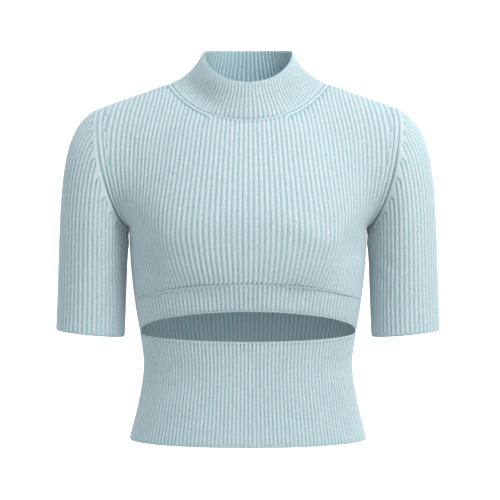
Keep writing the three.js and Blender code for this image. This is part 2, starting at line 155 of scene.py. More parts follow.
def mix(a, b, t):
    return a + (b - a) * t


def smooth(low, high, value):
    """0 below the low value, 1 above the high one, and a soft step between them."""
    t = np.clip((value - low) / (high - low), 0, 1)
    return t * t * (3 - 2 * t)


def cubic(controls, t):
    """Points of a cubic Bezier curve. t has one more axis in front than the controls."""
    a, b, c, d = controls
    t = np.asarray(t, float)[..., None]
    return a * (1 - t) ** 3 + b * 3 * t * (1 - t) ** 2 + c * 3 * t * t * (1 - t) + d * t**3


def rib_lines(side, s):
    """Control points of the ribs at the shares s >= 0, and how far round the neck each ends."""
    half = HALVES[side]
    around = np.minimum(s / half["neck_share"], 1)
    outward = np.maximum(s - half["neck_share"], 0) / (1 - half["neck_share"])
    x = NECK_HALF_WIDTH * around + (SHOULDER_HALF_WIDTH - NECK_HALF_WIDTH) * outward
    central = np.maximum(np.cos(around * np.pi / 2), 0) ** 1.2
    start = section_point(side, s, np.full_like(s, UNDERARM_Z))
    above = section_point(side, s, np.full_like(s, UNDERARM_Z + 1))
    near = (np.maximum(s - ARMHOLE_INFLUENCE, 0) / (1 - ARMHOLE_INFLUENCE))[:, None] ** 2
    rise = start + mix(unit(above - start) * half["rise"], half["armhole_low"], near)
    ridge_z = RIDGE_AT_CENTRE * central - SHOULDER_DROP * outward
    ridge = np.stack([x, np.full_like(s, SHOULDER_Y), ridge_z], -1)
    y, z = [mix(half["neck_side"][k], half["centre"][k], central) for k in (0, 1)]
    bend = np.stack([np.minimum(x, NECK_HALF_WIDTH), y, z], -1)
    tip = np.array([SHOULDER_HALF_WIDTH, SHOULDER_Y, -SHOULDER_DROP]) - half["armhole_high"]
    bend = mix(bend, tip, outward[:, None])
    return (start, rise, bend, ridge), around


def upper_end(side, controls, around):
    """Share of each line at which the neck seam cuts it. An ellipse in plan has roundness 0.5."""
    half = HALVES[side]
    seam_y = SHOULDER_Y + side * half["neck_depth"] * (1 - around**2) ** half["neck_roundness"]
    low, high = np.zeros_like(around), np.ones_like(around)
    for _ in range(26):
        middle = (low + high) / 2
        inside = side * (cubic(controls, middle)[..., 1] - seam_y) > 0
        low, high = np.where(inside, middle, low), np.where(inside, high, middle)
    return np.where(around < 1, low, 1.0)


LINE_STEPS = 96
PULL = {
    "z": np.array([-20, -63, -90, -118, -147, -180, -211, -234, -262, -285, -305.0]),
    "inner": np.array([0, 3, 4, 11, 12, 14, 14, 0, -1, 0, 0]) / 1000,
    "middle": np.array([0, 22, 26, 30, 43, 54, 42, 8, -18, -15, 0]) / 1000,
    "flank": np.array([0, 42, 46, 42, 44, 58, 38, -14, -46, -38, 0]) / 1000,
}
PULL_SHARES = {"centre": 0, "inner": 0.15, "middle": 0.42, "flank": 0.62, "side": 1}


def pull_table():
    """How far the ribs are drawn towards the side seams, for each 2 mm of height and each share."""
    z = np.arange(-330.0, -9.0, 2)
    share = np.linspace(0, 1, 65)
    columns = [np.interp(z, PULL["z"][::-1], PULL[name][::-1]) for name in ("inner", "middle", "flank")]
    knots = np.stack([0 * z, *columns, 0 * z], 1)
    table = np.array([np.interp(share, list(PULL_SHARES.values()), row) for row in knots])
    bell = np.exp(-((np.arange(-12, 13) / 4) ** 2) / 2)
    bell /= bell.sum()
    wide = np.concatenate([-table[:, 12:0:-1], table, -table[:, -2:-14:-1]], 1)
    table = np.array([np.convolve(row, bell, "valid") for row in wide])
    bell = np.exp(-((np.arange(-20, 21) / 7) ** 2) / 2)
    bell /= bell.sum()
    tall = np.concatenate([table[:1].repeat(20, 0), table, table[-1:].repeat(20, 0)])
    return np.array([np.convolve(column, bell, "valid") for column in tall.T]).T


PULLED = pull_table()


def pulled(side, a, z):
    """Shares of the girth where the ribs of the shares a lie, once the bust has spread them."""
    if side > 0:
        return a + 0 * z
    row = np.clip((z + 330) / 2, 0, len(PULLED) - 1.001)
    column = np.clip(a * 64, 0, 63.999)
    r, c = np.broadcast_arrays(row.astype(int), column.astype(int))
    fr, fc = row - r, column - c
    low = mix(PULLED[r, c], PULLED[r, c + 1], fc)
    high = mix(PULLED[r + 1, c], PULLED[r + 1, c + 1], fc)
    return a + mix(low, high, fr)


def at_distances(controls, end, from_top):
    """Points on each curve at the given distances below its end, and each curve's length."""
    t = np.linspace(0, 1, LINE_STEPS + 1)[:, None] * end
    points = cubic(controls, t)
    steps = np.linalg.norm(np.diff(points, axis=0), axis=-1)
    travelled = np.concatenate([np.zeros((1, steps.shape[1])), np.cumsum(steps, 0)])
    wanted = travelled[-1] - from_top(travelled[-1])
    found = np.empty_like(wanted)
    for c in range(found.shape[1]):
        found[:, c] = np.interp(wanted[:, c], travelled[:, c], t[:, c])
    return cubic(controls, found), found / end, travelled[-1] - wanted


print("Half girth under the arms, front:", round(float(np.sum(np.linalg.norm(np.diff(
    section_point(-1, np.linspace(-1, 1, 400), np.full(400, -178.0)), axis=0), axis=1))), 1), "mm")

# %% [markdown]
# ## One wall of rib knit
# Rib knit has a raised wale and a sunk one, turn about, and the other face shows the opposite.
# So a piece is a grid with six columns to a rib, pushed out on the crowns and in at the
# grooves, and a second grid inside it whose crowns lie behind the outer grooves.

# %% Ribs and edges of a wall
RIB_DEPTH = 1.25
WALL = 2.8
INNER_SHALLOW = 2.0
INNER_RIB_DEPTH = 0.8
RIB_SAMPLES = np.array([0, 0.13, 0.29, 0.5, 0.71, 0.87])
WALES_PER_RIB = 4
COURSE_LENGTH = 1.25
SEAM_CLEARANCE = 0.12


def rib_columns(ribs):
    """Rib numbers, whole at the grooves, for every column of a piece."""
    return np.concatenate([(np.arange(ribs)[:, None] + RIB_SAMPLES).ravel(), [ribs]])


def rib_height(rib):
    """0 at the bottom of a groove and 1 along a crown. The crown is twice as wide."""
    return 1 - np.abs(np.cos(np.pi * rib)) ** 4


def grid_normals(points, closed):
    """Outward normals of a grid whose rows go up and whose columns go round, seen from outside."""
    if closed:
        wide = np.concatenate([points[:, -1:], points, points[:, :1]], 1)
        across = (wide[:, 2:] - wide[:, :-2])
    else:
        across = np.gradient(points, axis=1)
    return unit(np.cross(across, np.gradient(points, axis=0)))


def faces_of(rows, columns, closed):
    """Corner rows and columns of every quad of a grid."""
    r, c = np.meshgrid(np.arange(rows - 1), np.arange(columns - (0 if closed else 1)), indexing="ij")
    r, c = r.ravel(), c.ravel()
    return np.stack([r, r, r + 1, r + 1], 1), np.stack([c, c + 1, c + 1, c], 1)


def cloth_wall(name, outer, inner, rib, course, painted_shade, closed, uniform=False, inner_shade=-0.4):
    """Closed mesh from two grids of points. Its UV counts wales and courses, and a point attribute holds the painted
    shade that darkens its colour.
    """
    rows, columns = outer.shape[:2]
    kept = np.arange(0, rows, 2)
    inner = inner[kept]
    count = rows * columns
    inner_at = count + np.arange(len(kept) * columns).reshape(len(kept), columns)
    outer_at = np.arange(count).reshape(rows, columns)
    face_rows, face_columns = faces_of(rows, columns, closed)
    loops, starts, uvs = [], [], []
    course_in = course[kept]

    def corner_uv(r, c, table):
        wrapped = c % columns
        u = np.where(c < columns, rib[wrapped], rib[0] + rib_total)
        return np.stack([u * WALES_PER_RIB, table[r, wrapped] / COURSE_LENGTH], -1)

    rib_total = round(len(rib) * (rib[1] - rib[0])) if uniform else len(rib) // len(RIB_SAMPLES)
    quads = [outer_at[face_rows, face_columns % columns]]
    quad_uvs = [corner_uv(face_rows, face_columns, course)]
    in_rows, in_columns = faces_of(len(kept), columns, closed)
    in_rows, in_columns = in_rows[:, ::-1], in_columns[:, ::-1]
    quads.append(inner_at[in_rows, in_columns % columns])
    quad_uvs.append(corner_uv(in_rows, in_columns, course_in))
    c = np.arange(columns - (0 if closed else 1))
    n = c + 1
    for outer_row, inner_row, upward in [(0, 0, False), (rows - 1, len(kept) - 1, True)]:
        a, b = outer_at[outer_row, c], outer_at[outer_row, n % columns]
        d, e = inner_at[inner_row, c], inner_at[inner_row, n % columns]
        quads.append(np.stack([a, b, e, d] if upward else [b, a, d, e], 1))
        uv_row = np.full_like(c, outer_row)
        order = [c, n, n, c] if upward else [n, c, c, n]
        quad_uvs.append(np.stack([corner_uv(uv_row, k, course) for k in order], 1))
    triangles = []
    if not closed:
        for column, facing in [(0, False), (columns - 1, True)]:
            for i in range(len(kept) - 1):
                low, high = inner_at[i, column], inner_at[i + 1, column]
                a, b, c3 = outer_at[2 * i : 2 * i + 3, column]
                for triple in [(low, b, a), (low, high, b), (high, c3, b)]:
                    triangles.append(triple if not facing else triple[::-1])
    triangles = np.array(triangles, int).reshape(-1, 3)
    quads = np.concatenate(quads)
    quad_uvs = np.concatenate(quad_uvs)
    points = np.concatenate([outer.reshape(-1, 3), inner.reshape(-1, 3)]) * MM
    mesh = bpy.data.meshes.new(name)
    mesh.vertices.add(len(points))
    mesh.vertices.foreach_set("co", points.astype(np.float32).ravel())
    corners = np.concatenate([quads.ravel(), triangles.ravel()])
    mesh.loops.add(len(corners))
    mesh.loops.foreach_set("vertex_index", corners.astype(np.int32))
    begins = np.concatenate([np.arange(len(quads)) * 4, len(quads) * 4 + np.arange(len(triangles)) * 3])
    mesh.polygons.add(len(begins))
    mesh.polygons.foreach_set("loop_start", begins.astype(np.int32))
    uv = mesh.uv_layers.new(name="knit")
    side_uvs = np.zeros((triangles.size, 2))
    uv.data.foreach_set("uv", np.concatenate([quad_uvs.reshape(-1, 2), side_uvs]).astype(np.float32).ravel())
    # Painted shade: the colour darkens in the grooves of both faces. An inner_shade below zero paints the inner face
    # lighter (painted light), and one above zero paints it darker (painted shade).
    painted_shade_layer = mesh.attributes.new("painted_shade", "FLOAT", "POINT")
    inner_painted_shade = np.full(inner.shape[:2], 1.0)
    inner_painted_shade[:] = 1.4 * (1 - rib_height(rib + 0.5))[None, :] + inner_shade
    painted_shade_layer.data.foreach_set(
        "value", np.concatenate([painted_shade.ravel(), inner_painted_shade.ravel()]).astype(np.float32)
    )
    mesh.polygons.foreach_set("use_smooth", np.ones(len(begins), bool))
    mesh.update(calc_edges=True)
    mesh.validate()
    piece = bpy.data.objects.new(name, mesh)
    bpy.context.scene.collection.objects.link(piece)
    return piece


# %% [markdown]
# ## Creases
# The cloth is stretched over the body, so it has no deep folds: only shallow drag lines that
# run from the underarm, and soft waves over the waist and down the sleeves. Each one is placed
# as a trough or ridge from one point to another, with its own depth and width.

# %% Troughs and ridges
CREASES = {
    "front": [
        ((-84, -172), (-66, -204), 4.8, 40),
        ((84, -172), (67, -204), 4.8, 40),
        ((-130, -180), (-114, -246), -7.0, 19),
        ((-113, -190), (-106, -232), -2.6, 15),
        ((130, -182), (116, -246), -6.2, 18),
        ((-98, -246), (-30, -258), -2.6, 14),
        ((32, -258), (99, -246), -2.5, 14),
        ((-134, -196), (-104, -212), -1.3, 6),
        ((-138, -212), (-112, -232), 0.9, 7),
        ((132, -192), (98, -206), -1.5, 6),
        ((138, -204), (108, -222), -1.2, 5),
        ((139, -222), (118, -238), 0.9, 7),
        ((-70, -262), (-20, -252), -0.7, 9),
        ((30, -254), (80, -266), -0.8, 8),
        ((-150, -60), (-132, -105), -1.0, 9),
        ((146, -66), (130, -118), -1.1, 8),
    ],
    "waist": [
        ((-122, -354), (-70, -340), -1.6, 8),
        ((-120, -374), (-58, -356), -1.3, 8),
        ((-104, -394), (-58, -384), 0.9, 8),
        ((-60, -388), (-66, -424), 0.9, 13),
        ((10, -372), (-4, -420), -0.8, 15),
        ((74, -380), (84, -426), 1.0, 12),
        ((120, -350), (86, -338), -1.1, 8),
        ((108, -398), (120, -428), -0.9, 10),
    ],
    "back": [
        ((-128, -190), (-84, -214), -1.6, 8),
        ((126, -196), (88, -224), -1.4, 7),
        ((-110, -330), (-40, -346), -1.3, 9),
        ((104, -326), (30, -350), -1.5, 8),
        ((-84, -356), (-20, -362), 1.0, 8),
        ((70, -366), (10, -372), 1.1, 7),
        ((-30, -396), (-34, -430), -0.8, 14),
        ((54, -396), (66, -430), 0.9, 13),
        ((-20, -70), (-60, -110), -0.9, 14),
        ((24, -66), (70, -120), -0.8, 15),
    ],
    "sleeve": [
        ((0.5, -190), (0.5, -204), 1.3, 9),
        ((0.40, -212), (0.31, -228), -1.2, 7),
        ((0.44, -228), (0.36, -248), -1.0, 6),
        ((0.62, -210), (0.72, -232), -1.3, 7),
        ((0.16, -180), (0.13, -290), -0.8, 12),
        ((0.29, -236), (0.27, -300), 0.8, 10),
        ((0.88, -190), (0.92, -280), -0.9, 13),
        ((0.05, -60), (0.10, -110), 0.7, 12),
    ],
}


def crease_height(creases, a, b):
    """Height of all creases of a list over the plane of a and b."""
    height = np.zeros_like(a)
    for (a0, b0), (a1, b1), depth, width in creases:
        da, db = a1 - a0, b1 - b0
        along = np.clip(((a - a0) * da + (b - b0) * db) / (da * da + db * db), 0, 1)
        distance = np.hypot(a - a0 - along * da, b - b0 - along * db)
        fading = 0.35 + 0.65 * np.sin(np.pi * np.clip(along * 0.94 + 0.03, 0, 1))
        height += depth * fading * np.exp(-((distance / width) ** 2))
    return height


# %% [markdown]
# ## Edges between the pieces
# The armhole is one curve that the body and the sleeve share, so both are cut along the same
# normals there and neither wall enters the other. The neck seam works the same way.

# %% Sleeve and collar forms
CUFF = {"x": 192.5, "y": 3, "z": -305.5, "half_width": 41.7, "half_depth": 49, "rise": 4.2}
ARM_LINE = unit(np.array([-0.045, 0, 1]))
CAP_TURNS = np.array([0, 0.25, 0.5, 0.75])
CAP = {
    "out": np.array([0.95, 0.42, 0.04, 0.42]),
    "along": np.array([0, -0.3, 0, 0.3]),
    "up": np.array([-0.33, -0.86, -1, -0.86]),
    "reach": np.array([58, 42, 26, 42]),
    "cuff_reach": np.array([160, 95, 45, 95]),
}


def cap_value(turn, name):
    facing = np.maximum(np.cos((turn[:, None] - CAP_TURNS) * 2 * np.pi), 0) ** 2
    return facing @ CAP[name].astype(float)


def armhole_point(side, t):
    """Points of the armhole on the wearer's left. t is 0 under the arm, 1 at the shoulder."""
    controls, _ = rib_lines(side, np.array([1.0]))
    return cubic([c[0] for c in controls], t)


def sleeve_lines(turn):
    """Control points of the sleeve's ribs, from the cuff up to the armhole."""
    angle = turn * 2 * np.pi
    cuff = np.stack([
        CUFF["x"] + CUFF["half_width"] * np.cos(angle),
        CUFF["y"] - CUFF["half_depth"] * np.sin(angle),
        CUFF["z"] + CUFF["rise"] * np.cos(angle),
    ], -1)
    t = np.abs(1 - 2 * turn)
    hole = np.where((turn <= 0.5)[:, None], armhole_point(-1, t), armhole_point(1, t))
    leave = np.stack([cap_value(turn, name) for name in ("out", "along", "up")], -1)
    leave = hole + unit(leave) * cap_value(turn, "reach")[:, None]
    up = cuff + ARM_LINE * cap_value(turn, "cuff_reach")[:, None]
    return cuff, up, leave, hole


COLLAR_TOP = {"y": -5, "half_width": 55.5, "half_depth": 49, "side_z": 34.5, "tilt": 25, "dip": 19}
COLLAR_SIDE_ROUNDING = 0.15
COLLAR_LEAN = {"seam_centre": 0.1, "seam_side": 2.1, "top_centre": 0.08, "top_side": 0.45}
COLLAR_REACH = 20
COLLAR_FAN = {"seam": 1.03, "top": 1.05}
COLLAR_RIBS = {"front": 46, "back": 36}


def neck_line(side, count):
    """Even steps of the rib number along half of the neck, from its centre to the left."""
    s = np.linspace(0, 1, count) * HALVES[side]["neck_share"]
    controls, around = rib_lines(side, s)
    end = upper_end(side, controls, around)
    point = cubic(controls, end)
    coming = cubic(controls, end * 0.99)
    return point, unit(point - coming)


def along_polyline(points, share):
    steps = np.linalg.norm(np.diff(points, axis=0), axis=-1)
    length = np.concatenate([[0], np.cumsum(steps)])
    return np.stack([np.interp(share * length[-1], length, points[:, k]) for k in range(3)], -1)


FRONT_NECK, FRONT_NECK_UP = neck_line(-1, 141)
BACK_NECK, BACK_NECK_UP = [v[::-1] for v in neck_line(1, 129)]


def collar_direction(angle, centre, side):
    lean = mix(COLLAR_LEAN[centre], COLLAR_LEAN[side], np.sin(angle) ** 2)
    way = np.stack([-lean * np.sin(angle), lean * np.cos(angle), np.ones_like(angle)], -1)
    return unit(way) * COLLAR_REACH


def fanned(quarter, name):
    """Places of the front ribs, which stand closer together towards the sides of the neck."""
    return quarter * (COLLAR_FAN[name] + (1 - COLLAR_FAN[name]) * quarter**2)


def collar_lines(turn):
    """Control points from the neck seam up. turn is 0 in front and 0.5 at the back centre."""
    in_front = turn <= 0.25
    quarter = np.where(in_front, turn * 4, turn * 4 - 1)
    base = np.where(
        in_front[:, None],
        along_polyline(FRONT_NECK, fanned(quarter, "seam")),
        along_polyline(BACK_NECK, quarter),
    )
    seam_angle = np.where(in_front, fanned(quarter, "seam"), turn * 4) * np.pi / 2
    angle = np.where(in_front, fanned(quarter, "top"), turn * 4) * np.pi / 2
    backward = -np.cos(angle)
    from_side = np.hypot(backward, COLLAR_SIDE_ROUNDING) - COLLAR_SIDE_ROUNDING
    top_z = COLLAR_TOP["side_z"] + COLLAR_TOP["tilt"] * backward - COLLAR_TOP["dip"] * from_side
    top = np.stack([
        COLLAR_TOP["half_width"] * np.sin(angle),
        COLLAR_TOP["y"] + COLLAR_TOP["half_depth"] * backward,
        top_z,
    ], -1)
    leave = collar_direction(seam_angle, "seam_centre", "seam_side")
    arrive = collar_direction(angle, "top_centre", "top_side")
    return base, base + leave, top - arrive, top


def curve_normals(lines_at, turns, t):
    """Outward normals at one share of the lines of a round piece, from close neighbours."""
    step = 0.002
    before, after = [cubic(lines_at(turns + k), np.full_like(turns, t)) for k in (-step, step)]
    low, high = [cubic(lines_at(turns), np.full_like(turns, v)) for v in (t - 0.01, t)]
    return after - before, high - low


# %% Normals along the armhole
MITRE = 1.35
MITRE_SHARE = 0.08


def armhole_normals(side, t):
    """Normals that the body and the left sleeve share along the armhole."""
    safe = np.maximum(t, MITRE_SHARE)
    controls, _ = rib_lines(side, np.array([0.99, 1.0]))
    inner_edge, edge = [cubic([c[k] for c in controls], safe) for k in (0, 1)]
    ahead = cubic([c[1] for c in controls], np.minimum(safe + 0.01, 1.0))
    behind = cubic([c[1] for c in controls], safe - 0.01)
    of_body = unit(np.cross(edge - inner_edge, ahead - behind)) * -side
    turn = (1 - safe) / 2 if side < 0 else (1 + safe) / 2
    turn = np.clip(turn, 0.003, 0.997)
    around, up = curve_normals(lambda k: sleeve_lines(k), turn, 1.0)
    of_sleeve = unit(np.cross(-around, up))
    shared = unit(of_body + of_sleeve)
    depth = 1 / np.maximum(np.sum(shared * of_body, -1, keepdims=True), 1e-3)
    shared = shared * np.minimum(depth, MITRE)
    under = np.array([0, 0, -MITRE])
    return mix(under, shared, np.clip(t / MITRE_SHARE, 0, 1)[:, None])


def neck_normals(side, s):
    """Normals that the body and the collar share along the neck, at the shares s >= 0."""
    line = FRONT_NECK if side < 0 else BACK_NECK[::-1]
    up = FRONT_NECK_UP if side < 0 else BACK_NECK_UP[::-1]
    share = np.linspace(0, 1, len(line))
    quarter = share * np.pi / 2
    angle = quarter if side < 0 else np.pi - quarter
    through = up + unit(collar_direction(angle, "seam_centre", "seam_side"))
    padded = np.concatenate([line[1:2] * [-1, 1, 1], line])
    along = np.concatenate([padded[2:] - padded[:-2], [line[-1] - line[-2]]])
    along[-1] = [0, -side, 0]
    normal = unit(np.cross(along, through)) * -side
    around = np.minimum(s / HALVES[side]["neck_share"], 1)
    return unit(np.stack([np.interp(around, share, normal[:, k]) for k in range(3)], -1))


def mirror(v):
    return v * np.array([-1, 1, 1])


print("Armhole from underarm to shoulder, front:", armhole_point(-1, np.array([0, 0.5, 1.0])).round(1).tolist())
print("Normals there:", armhole_normals(-1, np.array([0, 0.5, 1.0])).round(2).tolist())
print("Neck normals:", neck_normals(-1, np.array([0, 0.25, 0.5])).round(2).tolist())

# %% [markdown]
# ## The body panels
# The back is one panel from hem to neck. The front has three: the upper panel, the band under
# the bust and the waist panel below the slit. Near the neck two ribs turn and follow the seam,
# and the other ribs end on them. At the armhole the ribs narrow in four steps.

# %% Rows and edges of a panel
BAND_SEAM = (-268, 23, 1.4)
SLIT_TOP = (-305, 29.5, 1)
SLIT_BOTTOM = (-305, -7.6, 1)
ARMHOLE_RIB = 6.5
STEP_HEIGHTS = np.array([-45, -67, -89, -111.0])
ENDED_RIBS = {
    "z": np.array([0, -45, -111, -150, -178.0]),
    -1: np.array([2.6, 3.0, 4.6, 4.4, 0]),
    1: np.array([1.0, 1.4, 3.0, 3.0, 0]),
}
ROWS_AT_STEP = np.array([-2.0, -1.2, -0.4, 0.4, 1.2, 2.0])
NEAR_TOP = np.arange(0, 15.2, 0.8)
BORDER = 5.0
BORDER_TURNS_AT_RIB = {-1: 8, 1: 6}
NECK_LINK_HALF = 41


def edge_z(edge, s):
    side_z, rise, fall = edge
    return side_z + rise * np.maximum(1 - s * s, 0) ** fall


def polyline_distance(points, line):
    """Shortest distance from each point to a polyline."""
    flat = points.reshape(-1, 3)
    best = np.full(len(flat), 1e9)
    for a, b in zip(line[:-1], line[1:]):
        ab = b - a
        t = np.clip((flat - a) @ ab / max(ab @ ab, 1e-12), 0, 1)
        best = np.minimum(best, np.linalg.norm(flat - a - t[:, None] * ab, axis=1))
    return best.reshape(points.shape[:-1])


def step_places(side):
    """Where the armhole's steps lie, as shares of the way down from the fine top rows."""
    edge = armhole_point(side, np.linspace(1, 0, 301))
    down = np.concatenate([[0], np.cumsum(np.linalg.norm(np.diff(edge, axis=0), axis=1))])
    at_steps = np.interp(-STEP_HEIGHTS, -edge[:, 2], down)
    usable = down[-1] - NEAR_TOP[-1]
    return (at_steps - NEAR_TOP[-1]) / usable, usable


def upper_rows(side, s, count):
    """Points above the underarm, with rows close together at the top edge and at each step."""
    a = np.abs(s)
    known = np.unique(np.concatenate([np.linspace(0, 1, 361), [HALVES[side]["neck_share"]], a]))
    controls, around = rib_lines(side, known)
    end = upper_end(side, controls, around)
    places, usable = step_places(side)
    around_steps = (places[:, None] + ROWS_AT_STEP / usable).ravel()
    plain = (np.arange(1, count + 1) / count) ** 1.15
    apart = np.abs(plain[:, None] - around_steps).min(1) > 1.0 / usable
    far = np.sort(np.concatenate([plain[apart], around_steps])) if count > 9 else plain
    step = np.interp(far, places, np.arange(len(places)))
    pitch = places[1] - places[0]
    step = np.where(far < places[0], (far - places[0]) / pitch, step)
    step = np.where(far > places[-1], len(places) - 1 + (far - places[-1]) / pitch, step)
    step = np.concatenate([np.full(len(NEAR_TOP), -9.0), step])[::-1]

    def from_top(length):
        near = NEAR_TOP[:, None] + SEAM_CLEARANCE + np.zeros_like(length)
        rest = near[-1] + (length - near[-1]) * far[:, None]
        return np.concatenate([near, rest])[::-1]

    points, share, distance = at_distances(controls, end, from_top)
    here = np.searchsorted(known, a)
    moved = a + (pulled(side, a, points[:, here, 2]) - a) * smooth(4, 30, distance[:, here])

    def between(values):
        return np.array([np.interp(where, known, row) for where, row in zip(moved, values)])

    points = np.stack([between(points[..., k]) for k in range(3)], -1)
    points[..., 0] *= np.where(s < 0, -1, 1)
    return points, between(share), between(distance), moved, step


def panel(name, side, ribs, low_edge, high_edge, low_rows, top_rows, creases, link_low=0, link_high=0):
    """One body panel. An edge is a height or a curve, and high_edge None means up to the top."""
    rib = rib_columns(ribs)
    s = -side * (2 * rib / ribs - 1)
    girth = 390.0
    s = s * (1 - SEAM_CLEARANCE * 2 / girth)
    low = low_edge(s) + (SEAM_CLEARANCE if link_low else 0)
    high = high_edge(s) - (SEAM_CLEARANCE if link_high else 0) if high_edge else np.full_like(s, UNDERARM_Z)
    fine = np.array([0, 1.0, 2.0, 3.2, 5.0, 8.0])
    middle = np.linspace(0, 1, low_rows)[:, None]
    rows_z = [(low + fine[:, None])[:-1], mix(low + fine[-1], high - (fine[-1] if high_edge else 0), middle)]
    if high_edge:
        rows_z.append((high - fine[::-1][:, None])[1:])
    z = np.concatenate(rows_z)
    a = pulled(side, np.abs(s), z)
    points = section_point(side, np.sign(s) * a, z)
    step = np.full(len(z), 99.0)
    from_top = np.full(z.shape, 1e3)
    if high_edge:
        from_top = high - z
    share = np.full(z.shape, -1.0)
    if not high_edge:
        more, more_share, more_top, more_a, more_step = upper_rows(side, s, top_rows)
        points = np.concatenate([points, more[1:]])
        share = np.concatenate([share, more_share[1:]])
        from_top = np.concatenate([from_top, more_top[1:]])
        a = np.concatenate([a, more_a[1:]])
        step = np.concatenate([step, more_step[1:]])
    if len(points) % 2 == 0:
        spare = len(rows_z[0]) + 1
        points, share, from_top, a, step = [np.delete(v, spare, 0) for v in (points, share, from_top, a, step)]
    from_low = points[..., 2] - low
    from_low[share >= 0] = 1e3
    normals = grid_normals(points, False)
    return {
        "name": name, "side": side, "ribs": ribs, "rib": rib, "s": s, "a": a, "points": points,
        "share": share, "from_top": from_top, "from_low": from_low, "normals": normals,
        "creases": creases, "girth": girth, "step": step,
    }


def seam_normals(p):
    """Turns the normals of a panel towards those that it shares with its neighbours."""
    side, s, a = p["side"], p["s"], p["a"]
    points, normals, share = p["points"], p["normals"], p["share"]
    upper = share >= 0
    if upper.any():
        on_neck = np.abs(s) <= HALVES[side]["neck_share"]
        neck = neck_normals(side, np.abs(s))
        neck = np.where((s < 0)[:, None], mirror(neck), neck)
        weight = np.clip(1 - p["from_top"] / 9, 0, 1) ** 2 * on_neck
        normals = mix(normals, neck[None], weight[..., None])
        other = upper_rows(-side, s, 4)[0]
        other_normals = grid_normals(other, False)[-1] * -1
        ridge = unit(p["normals"][-1] + other_normals)
        weight = np.clip(1 - p["from_top"] / 9, 0, 1) ** 2 * ~on_neck
        normals = mix(normals, ridge[None], weight[..., None])
    edge = np.clip(1 - (1 - a) * p["girth"] / 2 / 8, 0, 1) ** 2
    at_side = points[:, [0, -1]].copy()
    for k, column in enumerate((0, -1)):
        sign = np.sign(s[column])
        t = np.clip(share[:, column], 0, 1)
        hole = armhole_normals(side, t)
        if sign < 0:
            hole = mirror(hole)
        plain = unit(p["normals"][:, column] * np.array([1, 0, 1]))
        wanted = np.where((share[:, column] >= 0)[:, None], hole, plain)
        at_side[:, k] = wanted
    left = np.where((np.sign(s) == np.sign(s[0]))[None, :, None], at_side[:, :1], at_side[:, 1:])
    return mix(normals, left, edge[..., None])


def neck_middle(points):
    """1 over the middle of the front neck, where the seam is linked flat, and 0 elsewhere."""
    return (1 - smooth(NECK_LINK_HALF - 3, NECK_LINK_HALF + 4, np.abs(points[..., 0]))) * (points[..., 1] < 0)


def neck_border(p):
    """How far from the neck each point is, how far into the rib that follows it, and its share."""
    side = p["side"]
    line = FRONT_NECK if side < 0 else BACK_NECK[::-1]
    near = p["share"] > 0.6
    distance = np.full(near.shape, 99.0)
    mirrored = p["points"].copy()
    mirrored[..., 0] = np.abs(mirrored[..., 0])
    distance[near] = polyline_distance(mirrored[near], line[::4])
    from_centre = np.abs(p["s"]) * p["ribs"] / 2
    inward = (from_centre - BORDER_TURNS_AT_RIB[side])[None] * BORDER + 0 * distance
    soft = 2.2
    corner = -soft * np.log(np.exp(-np.clip(distance, -60, 99) / soft) + np.exp(-np.clip(inward, -60, 99) / soft))
    along_neck = near * (1 - smooth(0, 9, distance - inward)) * (inward > -2)
    return distance, corner, along_neck


def seam_shade(away, points):
    """Painted shadow along the pulled-in armhole seam, darker towards the underarm."""
    return 0.9 * np.exp(-((away / 1.3) ** 2)) * smooth(40, 140, -points[..., 2])


